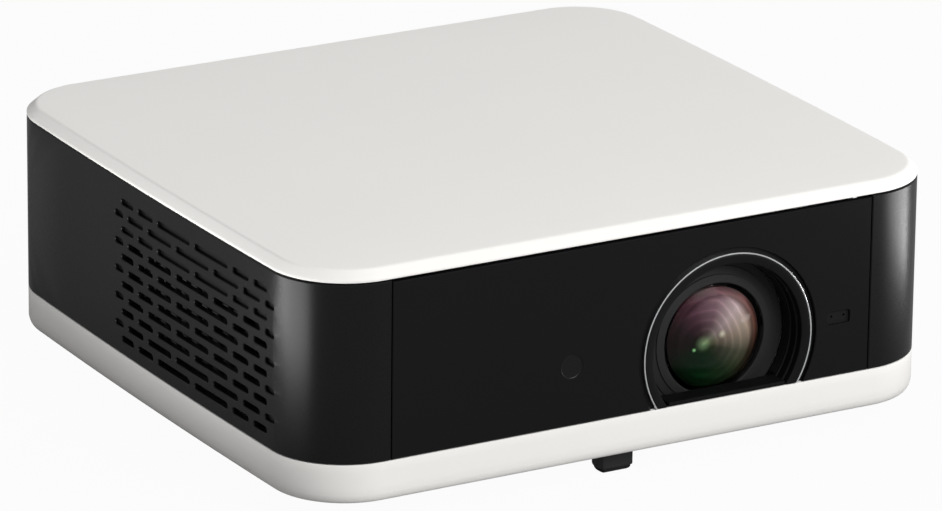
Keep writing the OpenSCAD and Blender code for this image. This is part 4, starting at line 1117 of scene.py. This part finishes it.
class PROJECTOR_OT_tray(bpy.types.Operator):
    """Builds the pale tray with its rounded lower edge and the openings in its underside"""

    bl_idname = "projector.tray"
    bl_label = "Base tray"

    SEAM, LIP, BOTTOM_ROUND, INNER_SLOPE = 0.2 * MM, 0.55 * MM, 3.4 * MM, 6 * MM
    FOOT_ROOM, FOOT_DEPTH, FOOT_ROUND = 0.5 * MM, 6 * MM, 2 * MM
    WELL_RADIUS, INSERT_RADIUS, TRIPOD_RADIUS = 3.1 * MM, 3.05 * MM, 5.05 * MM
    INSERT_STEP, DRILL = 3 * MM, 12 * MM
    RIB_APART, RIB_WIDTH, RIB_DEPTH, RIB_GAP = 19 * MM, 15 * MM, 2 * MM, 0.6 * MM

    def execute(self, context):
        s = sizes()
        plan = Plan()
        lip = self.LIP
        top = BAND_LOW - self.SEAM
        low = s.tray_round
        profile = [(low + s.wall, TRAY_LOW + s.wall), (s.wall, top - self.INNER_SLOPE),
                   (s.wall, top - lip), (s.wall - lip, top), (lip, top)]
        profile += arc_profile((lip, top), (0.0, top - lip), 0.0, top, 3)[1:]
        knee = TRAY_LOW + self.BOTTOM_ROUND
        profile += [(0.0, top - lip - (top - lip - knee) * k / 4) for k in range(1, 4)]
        profile += arc_profile((0.0, knee), (low, TRAY_LOW), 0.25 * low, TRAY_LOW, 9)
        rings = [plan.ring(inset, z) for inset, z in profile]
        rings.append([Vector((p.x * 0.9, p.y * 0.9, TRAY_LOW)) for p in rings[-1]])
        bm = bmesh.new()
        loft(bm, rings)
        outward(bm)
        obj = to_object(bm, "tray_shell", [FINISHES["warm_white_shell"]], SHELL_SHARP)
        self.pierce(obj)
        settle(obj, HOUSING, "warm_white_shell", "base_tray")
        self.ribs()
        return {"FINISHED"}

    def pierce(self, obj):
        """Cuts the foot opening, screw wells and insert holes through the floor."""
        cutters = bmesh.new()
        low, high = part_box("front_foot_post")
        room = self.FOOT_ROOM
        add_box(cutters, (low.x - room, low.y - room, TRAY_LOW - MM),
                (high.x + room, high.y + room, TRAY_LOW + self.FOOT_DEPTH), self.FOOT_ROUND)
        wells = [(p, self.WELL_RADIUS) for p in corners("case_screws", CASE_HEAD_RADIUS, TRAY_LOW)]
        wells += [(p, self.INSERT_RADIUS)
                  for p in corners("ceiling_inserts", self.INSERT_STEP, TRAY_LOW)]
        wells.append(((0.0, 0.0, TRAY_LOW), self.TRIPOD_RADIUS))
        for point, r in wells:
            made = bmesh.ops.create_cone(cutters, cap_ends=True, segments=40, radius1=r,
                                         radius2=r, depth=self.DRILL)
            bmesh.ops.translate(cutters, verts=made["verts"], vec=point)
        tool = to_object(cutters, "tray_cutters", [])
        modifier = obj.modifiers.new("Holes", "BOOLEAN")
        modifier.operation = "DIFFERENCE"
        modifier.solver = "EXACT"
        modifier.object = tool
        graph = bpy.context.evaluated_depsgraph_get()
        carved = bpy.data.meshes.new_from_object(obj.evaluated_get(graph), depsgraph=graph)
        obj.modifiers.clear()
        obj.data = carved
        bpy.data.objects.remove(tool)

    def ribs(self):
        """Bars on the tray's floor under the fans and the heat sink."""
        floor_top = TRAY_LOW + sizes().wall
        points = []
        for node in ("intake_fan_frame", "exhaust_fan_frame", "heat_sink"):
            mid = middle(node)
            level = (floor_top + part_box(node)[0].z) / 2
            points += [(mid.x, mid.y + dy, level) for dy in (-self.RIB_APART, self.RIB_APART)]
        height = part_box("heat_sink")[0].z - floor_top - self.RIB_GAP
        obj = grow("tray_ribs", points, bar_tree(FINISHES["warm_white_shell"]),
                   {"Width": self.RIB_WIDTH, "Depth": self.RIB_DEPTH, "Height": height})
        settle(obj, HOUSING, "warm_white_shell")


class PROJECTOR_OT_bands(bpy.types.Operator):
    """Builds both side walls with their rounded corners and staggered vent slots"""

    bl_idname = "projector.bands"
    bl_label = "Side bands"

    # How far the CAD band reaches behind a panel, and the joint line between the two
    BACKING, PANEL_GAP = 5 * MM, 0.4 * MM
    SLOT_EDGE, SHORT_SLOT, CORNER_ROWS, CORNER_START = 0.28 * MM, 8 * MM, 6, 6 * MM

    def execute(self, context):
        for name, node, side in (("band_right", "side_band_right", 1),
                                 ("band_left", "side_band_left", -1)):
            obj = self.build(name, side)
            settle(obj, HOUSING, "satin_black_band", node)
        return {"FINISHED"}

    def build(self, name, side):
        s = sizes()
        plan = Plan()
        stops = plan.stops(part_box("side_band_right")[0].x + self.BACKING + self.PANEL_GAP)
        first, last = stops[0], stops[-1]
        inner = stops[1:-1]
        low, top = BAND_LOW, BAND_TOP

        def outline_at(inset):
            bottom = [(first + inset, low + inset)]
            bottom += [(u, low + inset) for u in inner] + [(last - inset, low + inset)]
            upper = [(last - inset, top - inset)]
            upper += [(u, top - inset) for u in reversed(inner)] + [(first + inset, top - inset)]
            return bottom + upper

        holes = []
        for row in range(s.rows):
            z = BAND_TOP - s.grille_drop - row * s.row_pitch
            for offset, length in row_slots(row % 2 == 1):
                blind = row < s.blind_rows or length < self.SHORT_SLOT
                u = plan.side_u(s.grille_y + offset)

                def loop(inset, u=u, z=z, length=length):
                    return slot_loop(u, z, length, s.slot_height, inset)
                holes.append((loop, s.blind_depth if blind else None, self.SLOT_EDGE))
        corner_points = [(u, low + (top - low) * k / self.CORNER_ROWS)
                         for k in range(1, self.CORNER_ROWS)
                         for u in inner if abs(u) > plan.side_run + self.CORNER_START]

        def place(u, z, depth):
            x, y = plan.at(u, depth)
            return (side * x, y, z)

        bm = pierced(place, outline_at, holes, s.wall, s.edge, corner_points)
        return to_object(bm, name, [FINISHES["satin_black_band"]])


def flat_outline(low, high):
    """Outline function of a flat rectangular sheet in X and Z."""
    def outline_at(inset):
        x0, x1, z0, z1 = low.x + inset, high.x - inset, low.z + inset, high.z - inset
        return [(x0, z0), (x1, z0), (x1, z1), (x0, z1)]
    return outline_at


class PROJECTOR_OT_fascia(bpy.types.Operator):
    """Builds the flat front panel with its lens hole and window holes"""

    bl_idname = "projector.fascia"
    bl_label = "Front fascia"

    BITE_STEPS, EYE_FACETS = 96, 64
    EYE_ROOM, EYE_EDGE = 0.12 * MM, 0.1 * MM
    PORT_ROOM, PORT_CORNER, PORT_EDGE = 0.1 * MM, 1.1 * MM, 0.15 * MM

    def execute(self, context):
        s = sizes()
        low, high = PANEL_LOW, PANEL_HIGH

        def outline_at(inset):
            """The rectangle with the lens hole biting into its lower edge."""
            x0, x1 = low.x + inset, high.x - inset
            z0, z1 = low.z + inset, high.z - inset
            r = s.aperture + inset
            start = math.asin((LENS_Z - z0) / r)
            bite = []
            for k in range(self.BITE_STEPS + 1):
                a = math.pi + start - (math.pi + 2 * start) * k / self.BITE_STEPS
                bite.append((LENS_X + r * math.cos(a), LENS_Z + r * math.sin(a)))
            return [(x0, z0)] + bite + [(x1, z0), (x1, z1), (x0, z1)]

        eye_low, eye_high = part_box("sensor_window")
        eye = middle("sensor_window")
        eye_r = (eye_high.x - eye_low.x) / 2 + self.EYE_ROOM
        port_low, port_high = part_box("rangefinder_window")
        port = middle("rangefinder_window")
        width = port_high.x - port_low.x + self.PORT_ROOM
        height = port_high.z - port_low.z + self.PORT_ROOM
        holes = [
            (lambda inset: circle_loop(eye.x, eye.z, eye_r, inset, self.EYE_FACETS), None,
             self.EYE_EDGE),
            (lambda inset: box_loop(port.x, port.z, width, height, self.PORT_CORNER, inset), None,
             self.PORT_EDGE)]

        def place(x, z, depth):
            return (x, FRONT_Y + depth, z)

        bm = pierced(place, outline_at, holes, s.wall, s.edge)
        obj = to_object(bm, "fascia", [FINISHES["front_fascia"]])
        settle(obj, HOUSING, "front_fascia", "front_panel")
        return {"FINISHED"}


class PROJECTOR_OT_rear(bpy.types.Operator):
    """Builds the rear panel with its speaker slots and socket openings"""

    bl_idname = "projector.rear"
    bl_label = "Rear panel"

    SLOT, LONG_SLOT, ROWS, SLOT_EDGE = 15 * MM, 19 * MM, 7, 0.22 * MM
    # Each socket's node and the corner radius of its opening
    SOCKETS = (("hdmi_socket", 0.6 * MM), ("usb_socket", 0.5 * MM), ("power_inlet", 2.0 * MM),
               ("audio_jack", 0.8 * MM))
    SOCKET_ROOM, SOCKET_EDGE = 0.3 * MM, 0.25 * MM
    # Each round opening's node, radius, facets and chamfer
    ROUND_HOLES = (("power_button", 5.1 * MM, 64, 0.3 * MM), ("status_light", 1.3 * MM, 24, 0.1 * MM))

    def execute(self, context):
        s = sizes()
        low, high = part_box("rear_panel")
        holes = []
        for node, radius in self.SOCKETS:
            a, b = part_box(node)
            mid = middle(node)
            width, height = b.x - a.x + self.SOCKET_ROOM, b.z - a.z + self.SOCKET_ROOM

            def loop(inset, mid=mid, width=width, height=height, radius=radius):
                return box_loop(-mid.x, mid.z, width, height, radius, inset)
            holes.append((loop, None, self.SOCKET_EDGE))
        for node, radius, facets, edge in self.ROUND_HOLES:
            def loop(inset, mid=middle(node), radius=radius, facets=facets):
                return circle_loop(-mid.x, mid.z, radius, inset, facets)
            holes.append((loop, None, edge))
        shift = (self.SLOT + s.slot_space) / 2
        for node in ("speaker_cone_left", "speaker_cone_right"):
            mid = middle(node)
            for row in range(self.ROWS):
                z = mid.z + (row - (self.ROWS - 1) / 2) * s.row_pitch
                slots = [(0.0, self.LONG_SLOT)] if row % 2 else [
                    (-shift, self.SLOT), (shift, self.SLOT)]
                for dx, length in slots:
                    def loop(inset, x=-mid.x + dx, z=z, length=length):
                        return slot_loop(x, z, length, s.slot_height, inset)
                    holes.append((loop, None, self.SLOT_EDGE))

        def place(x, z, depth):
            return (-x, REAR_Y - depth, z)

        bm = pierced(place, flat_outline(Vector((-high.x, 0, low.z)), Vector((-low.x, 0, high.z))),
                     holes, s.wall, s.edge)
        obj = to_object(bm, "rear_plate", [FINISHES["rear_fascia"]])
        settle(obj, HOUSING, "rear_fascia", "rear_panel")
        return {"FINISHED"}


# ---------------------------------------------------------------- lens

class PROJECTOR_OT_lens(bpy.types.Operator):
    """Builds the trim ring, the recess, the bezel and the coated front glass"""

    bl_idname = "projector.lens"
    bl_label = "Lens"

    TRIM_FACE, TRIM_BACK = 0.05 * MM, 1.4 * MM
    ROUNDING = tuple(math.radians(angle) for angle in (30, 60, 90))
    FLOOR_GAP = 0.02 * MM
    # The sleeve as (past the mouth's radius, depth) in millimetres: its throat counts from
    # the recess's depth, its lip from the front face
    THROAT = ((-1.0, 0.0), (-1.0, -5.0), (-0.5, -5.4), (-0.5, -8.6), (0.0, -9.0))
    LIP = ((0.0, 0.7), (0.15, 0.45), (0.45, 0.3))
    SHELF_GAP, SHELF_DEPTH, SLEEVE_GAP = 0.05 * MM, 1.5 * MM, 0.15 * MM
    FLANGE, FLANGE_THICK = 3 * MM, 1.5 * MM
    LEDGE_FRONT, LEDGE_BACK, LEDGE_THICK, LEDGE_ROUND = 0.35 * MM, 8.1 * MM, 1.5 * MM, 0.25 * MM
    LEDGE_INSET = 0.2 * MM
    RIDGES, RIDGE_STEP, RIDGE_THICK, RIDGE_FLOOR = 5, 0.8, 0.22 * MM, 1.6 * MM
    # The bezel's steps as (past the glass's radius, behind the recess's depth) in millimetres
    STEPS_OUT = ((0.3, 1.4), (0.3, -1.9), (0.55, -2.2), (1.0, -2.2), (3.4, -1.75),
                 (3.5, -1.3), (6.4, -0.75), (6.5, -0.35))
    BEZEL_GAP, BEZEL_FRONT, BEZEL_BACK = 1.3 * MM, 0.2 * MM, 1.4 * MM
    GLASS_SEAT, GLASS_EDGE, GLASS_BACK = 1.75 * MM, 1.6 * MM, 1.4 * MM
    INNER_LESS, INNER_BULGE, INNER_BEHIND, INNER_EDGE = 1.6 * MM, 4.2 * MM, 1.2 * MM, 1.5 * MM
    GLASS_LAND, GLASS_RINGS = 0.4 * MM, 22

    def execute(self, context):
        self.trim()
        self.recess()
        self.bezel()
        self.glasses()
        return {"FINISHED"}

    def trim(self):
        s = sizes()
        inner, outer = s.ring - s.ring_width, s.ring
        nose = s.ring_width / 3
        face, back = self.TRIM_FACE, self.TRIM_BACK
        rise = [(nose * (1 - math.cos(a)), face + nose * (1 - math.sin(a)))
                for a in self.ROUNDING]
        profile = [(inner, back), (inner, face + nose)]
        profile += [(inner + run, depth) for run, depth in rise]
        profile += [(outer - run, depth) for run, depth in reversed(rise)]
        profile += [(outer, face + nose), (outer, back)]
        bm = cut_level(turned(profile, 192), RECESS_FLOOR + face)
        obj = to_object(bm, "trim_ring", [FINISHES["bright_trim"]])
        settle(obj, HOUSING, "bright_trim", "lens_trim_ring")

    def recess(self):
        s = sizes()
        mouth, depth = s.recess, s.recess_depth
        shelf = s.ring - s.ring_width - self.SHELF_GAP
        sleeve = s.aperture - self.SLEEVE_GAP
        flange, flange_back = s.aperture + self.FLANGE, s.wall + self.FLANGE_THICK
        profile = [(mouth + run * MM, depth + back * MM) for run, back in self.THROAT]
        profile += [(mouth + run * MM, back * MM) for run, back in self.LIP]
        profile += [(shelf - 0.4 * MM, 0.15 * MM), (shelf, 0.35 * MM), (shelf, self.SHELF_DEPTH),
                    (sleeve, self.SHELF_DEPTH), (sleeve, s.wall), (flange, s.wall),
                    (flange, flange_back), (mouth + 2 * MM, flange_back), (mouth + 1 * MM, depth)]
        level = RECESS_FLOOR + self.FLOOR_GAP
        bm = cut_level(turned(profile, 192), level)
        half = math.sqrt((mouth - self.LEDGE_INSET) ** 2 - (LENS_Z - RECESS_FLOOR) ** 2)
        add_box(bm, (LENS_X - half, FRONT_Y + self.LEDGE_FRONT, level),
                (LENS_X + half, FRONT_Y + self.LEDGE_BACK, RECESS_FLOOR + self.LEDGE_THICK),
                self.LEDGE_ROUND)
        obj = to_object(bm, "recess_sleeve", [FINISHES["dark_recess"]])
        settle(obj, HOUSING, "dark_recess", "lens_recess")
        points = [(LENS_X, FRONT_Y + depth - self.RIDGE_STEP * (k + 1) * MM, LENS_Z)
                  for k in range(self.RIDGES)]
        ridges = grow("recess_ridges", points, ridge_tree(FINISHES["dark_recess"]),
                      {"Radius": mouth - 1.0 * MM, "Thickness": self.RIDGE_THICK})
        bm = bmesh.new()
        bm.from_mesh(ridges.data)
        cut_level(bm, RECESS_FLOOR + self.RIDGE_FLOOR)
        bm.to_mesh(ridges.data)
        bm.free()
        settle(ridges, HOUSING, "dark_recess")

    def bezel(self):
        s = sizes()
        depth = s.recess_depth
        out = s.recess - self.BEZEL_GAP
        profile = [(out, depth - self.BEZEL_FRONT), (out, depth + self.BEZEL_BACK)]
        profile += [(s.glass + run * MM, depth + back * MM) for run, back in self.STEPS_OUT]
        bm = cut_level(turned(profile, 160), RECESS_FLOOR + self.FLOOR_GAP)
        obj = to_object(bm, "glass_bezel", [FINISHES["grey_bezel"]], STEP_SHARP)
        settle(obj, HOUSING, "grey_bezel", "lens_bezel")

    def glasses(self):
        s = sizes()
        rim_y = s.recess_depth - self.GLASS_SEAT
        front = self.dome(s.glass, s.glass_bulge, rim_y, self.GLASS_EDGE, self.GLASS_BACK)
        obj = to_object(front, "front_glass", [FINISHES["coated_glass"]], GLASS_SHARP)
        settle(obj, HOUSING, "coated_glass", "front_lens")
        inner = self.dome(s.glass - self.INNER_LESS, self.INNER_BULGE, rim_y + self.INNER_BEHIND,
                          self.INNER_EDGE, 0.0)
        # The inner element's colour is painted lens reflections, painted glints and painted shade.
        obj = to_object(inner, "inner_glass", [painted_lens_reflections("painted_lens_reflections")], GLASS_SHARP)
        settle(obj, HOUSING, "coated_glass")

    def dome(self, radius, bulge, rim, edge, back):
        """A lens with a spherical front, and behind it a hollow or, if back is 0, a flat."""
        ball = (radius ** 2 + bulge ** 2) / (2 * bulge)
        steps = self.GLASS_RINGS
        profile = []
        for k in range(steps + 1):
            r = radius * k / steps
            profile.append((r, rim + ball - bulge - math.sqrt(ball ** 2 - r ** 2)))
        profile.append((radius, rim + edge))
        if back:
            hollow = bulge - back
            ball = (radius ** 2 + hollow ** 2) / (2 * hollow)
            for k in range(steps, -1, -1):
                r = (radius - self.GLASS_LAND) * k / steps
                sag = ball - hollow - math.sqrt(ball ** 2 - r ** 2)
                profile.append((r, rim + edge + sag))
        else:
            profile.append((0.0, rim + edge))
        return turned(profile, 128)


class PROJECTOR_OT_windows(bpy.types.Operator):
    """Builds the round sensor window and the rangefinder window"""

    bl_idname = "projector.windows"
    bl_label = "Windows"

    # The sensor window's face as (inset, depth) in millimetres, from its middle outwards
    EYE_FACE = ((0.6, 0.22), (0.35, 0.1), (0.1, 0.08), (0.0, 0.18))
    EYE_DEPTH = 0.22 * MM
    PIN_APART, PIN_RISE, PIN_RADIUS, PIN_DEPTH = 2.6 * MM, 0.4 * MM, 0.5 * MM, 1.0 * MM
    PIN_EDGE, PORT_EDGE, PORT_CORNER = 0.08 * MM, 0.12 * MM, 1.0 * MM

    def execute(self, context):
        s = sizes()
        low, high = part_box("sensor_window")
        mid = (low + high) / 2
        r = (high.x - low.x) / 2
        profile = [(0.0, self.EYE_DEPTH)]
        profile += [(r - inset * MM, depth * MM) for inset, depth in self.EYE_FACE]
        profile += [(r, s.wall), (0.0, s.wall)]
        bm = turned(profile, 72, mid.x, mid.z)
        obj = to_object(bm, "sensor_lens", [FINISHES["dark_window"]], STEP_SHARP)
        settle(obj, HOUSING, "dark_window", "sensor_window")
        low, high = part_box("rangefinder_window")
        mid = (low + high) / 2
        width, height = high.x - low.x, high.z - low.z

        def pin(x):
            """The loop function of a pin hole."""
            return lambda inset: circle_loop(x, mid.z + self.PIN_RISE, self.PIN_RADIUS, inset, 16)

        def place(x, z, depth):
            return (x, low.y + depth, z)

        def outline_at(inset):
            return box_loop(mid.x, mid.z, width, height, self.PORT_CORNER, inset)

        pins = [(pin(mid.x + side * self.PIN_APART), self.PIN_DEPTH, self.PIN_EDGE)
                for side in (-1, 1)]
        bm = pierced(place, outline_at, pins, high.y - low.y, self.PORT_EDGE)
        obj = to_object(bm, "rangefinder_insert", [FINISHES["window_insert"]])
        settle(obj, HOUSING, "window_insert", "rangefinder_window")
        return {"FINISHED"}


# ---------------------------------------------------------------- feet and fasteners

class PROJECTOR_OT_feet(bpy.types.Operator):
    """Builds the flat-sided front foot with its domed pad, and the ribbed rear feet"""

    bl_idname = "projector.feet"
    bl_label = "Feet"

    FACETS = 64
    POST_ROUND = 0.6 * MM
    # Lower ends as (inset, height over the underside) in millimetres, from the side inwards
    POST_END = ((0.0, 0.8), (0.15, 0.35), (0.5, 0.1), (0.9, 0.0))
    PAD_END = ((1.2, 0.9), (2.0, 0.35), (3.0, 0.08), (4.2, 0.0))
    REAR_END = ((0.5, 2.2), (0.7, 1.2), (1.2, 0.4), (2.2, 0.0), (3.4, 0.0), (3.8, 0.6))
    PAD_TUCK, PAD_SKIRT = 0.7 * MM, 0.75 * MM
    SPIGOT_STEP, REAR_SKIRT, REAR_DRAFT = 5 * MM, 1 * MM, 0.1 * MM

    def execute(self, context):
        self.front_foot()
        self.rear_feet()
        return {"FINISHED"}

    def front_foot(self):
        low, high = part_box("front_foot_post")
        radius = (high.x - low.x) / 2
        centre_y = high.y - radius
        flat = centre_y - low.y

        def ring(inset, z):
            """A circle with its front cut flat."""
            r, f = radius - inset, flat - inset
            turns = [TAU * k / self.FACETS for k in range(self.FACETS)]
            return [Vector((r * math.cos(a), centre_y + max(r * math.sin(a), -f), z))
                    for a in turns]

        profile = [(self.POST_ROUND, high.z), (0.0, high.z - self.POST_ROUND)]
        profile += [(inset * MM, low.z + up * MM) for inset, up in self.POST_END]
        bm = bmesh.new()
        loft(bm, [ring(inset, z) for inset, z in profile])
        outward(bm)
        post = to_object(bm, "foot_post", [FINISHES["foot_plastic"]])
        settle(post, "front_foot", "foot_plastic", "front_foot_post")
        low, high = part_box("front_foot_pad")
        profile = [(self.PAD_TUCK, high.z), (self.PAD_SKIRT, high.z - self.PAD_TUCK)]
        profile += [(inset * MM, low.z + up * MM) for inset, up in self.PAD_END]
        bm = bmesh.new()
        loft(bm, [ring(inset, z) for inset, z in profile])
        outward(bm)
        pad = to_object(bm, "foot_pad", [FINISHES["foot_rubber"]], PAD_SHARP)
        settle(pad, "front_foot", "foot_rubber", "front_foot_pad")

    def rear_feet(self):
        for name, node in (("rear_pad_left", "rear_foot_left"),
                           ("rear_pad_right", "rear_foot_right")):
            low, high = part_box(node)
            mid = (low + high) / 2
            r = (high.x - low.x) / 2
            profile = [(r - self.SPIGOT_STEP, high.z), (r - self.SPIGOT_STEP, TRAY_LOW),
                       (r, TRAY_LOW), (r - self.REAR_DRAFT, TRAY_LOW - self.REAR_SKIRT)]
            profile += [(r - inset * MM, low.z + up * MM) for inset, up in self.REAR_END]
            turns = [TAU * k / self.FACETS for k in range(self.FACETS)]
            rings = [[Vector((mid.x + q * math.cos(a), mid.y + q * math.sin(a), z))
                      for a in turns] for q, z in profile]
            bm = bmesh.new()
            loft(bm, rings)
            outward(bm)
            obj = to_object(bm, name, [FINISHES["foot_rubber"]])
            settle(obj, HOUSING, "foot_rubber", node)


class PROJECTOR_OT_screws(bpy.types.Operator):
    """Builds the case screws and the engine lid's screws"""

    bl_idname = "projector.screws"
    bl_label = "Screws"

    LID_HEAD_RADIUS, LID_HEAD_HEIGHT = 2.8 * MM, 1.8 * MM

    def execute(self, context):
        steel = FINISHES["steel_screw"]
        low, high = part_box("case_screws")
        points = corners("case_screws", CASE_HEAD_RADIUS, low.z + CASE_HEAD_HEIGHT)
        obj = grow("case_screw_set", points, screw_tree(steel, 1),
                   {"Head radius": CASE_HEAD_RADIUS, "Head height": CASE_HEAD_HEIGHT,
                    "Length": high.z - low.z - CASE_HEAD_HEIGHT})
        settle(obj, HOUSING, "steel_screw", "case_screws")
        points = corners("lid_screws", self.LID_HEAD_RADIUS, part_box("engine_lid")[1].z)
        obj = grow("lid_screw_set", points, screw_tree(steel, -1),
                   {"Head radius": self.LID_HEAD_RADIUS, "Head height": self.LID_HEAD_HEIGHT})
        settle(obj, HOUSING, "steel_screw", "lid_screws")
        return {"FINISHED"}


class PROJECTOR_OT_finishes(bpy.types.Operator):
    """Makes every finish, and gives each CAD node the one of its slot"""

    bl_idname = "projector.finishes"
    bl_label = "Finishes"

    def execute(self, context):
        build_finishes()
        for entry in frame["record"]["subparts"]:
            mesh = frame["nodes"][entry["node"]].data
            mesh.materials.clear()
            mesh.materials.append(FINISHES[entry["material_slot"]])
        return {"FINISHED"}


STEPS = ("finishes", "cover", "tray", "bands", "fascia", "rear", "lens", "windows", "feet",
         "screws")


class PROJECTOR_PT_panel(bpy.types.Panel):
    """Lists the projector's sizes, colours and pieces"""

    bl_idname = "PROJECTOR_PT_panel"
    bl_label = "Home projector"
    bl_space_type = "VIEW_3D"
    bl_region_type = "UI"
    bl_category = "Projector"

    def draw(self, context):
        layout = self.layout
        layout.operator("projector.stage")
        for step in STEPS:
            layout.operator("projector." + step)
        for group in (context.scene.projector_sizes, context.scene.projector_colours):
            column = layout.column(align=True)
            for name in group.__annotations__:
                column.prop(group, name)


CLASSES = (
    ProjectorSizes, ProjectorColours, PROJECTOR_OT_stage, PROJECTOR_OT_cover, PROJECTOR_OT_tray,
    PROJECTOR_OT_bands, PROJECTOR_OT_fascia, PROJECTOR_OT_rear, PROJECTOR_OT_lens,
    PROJECTOR_OT_windows, PROJECTOR_OT_feet, PROJECTOR_OT_screws, PROJECTOR_OT_finishes,
    PROJECTOR_PT_panel)


def register():
    """Adds the classes and the settings to Blender."""
    for cls in CLASSES:
        bpy.utils.register_class(cls)
    bpy.types.Scene.projector_sizes = PointerProperty(type=ProjectorSizes)
    bpy.types.Scene.projector_colours = PointerProperty(type=ProjectorColours)


def unregister():
    """Removes the settings and the classes."""
    del bpy.types.Scene.projector_colours
    del bpy.types.Scene.projector_sizes
    for cls in reversed(CLASSES):
        bpy.utils.unregister_class(cls)


def main():
    """Builds the stage and every piece."""
    register()
    bpy.ops.projector.stage()
    bpy.ops.projector.finishes()
    bpy.ops.projector.cover()
    bpy.ops.projector.tray()
    bpy.ops.projector.bands()
    bpy.ops.projector.fascia()
    bpy.ops.projector.rear()
    bpy.ops.projector.lens()
    bpy.ops.projector.windows()
    bpy.ops.projector.feet()
    bpy.ops.projector.screws()


if __name__ == "__main__":
    main()
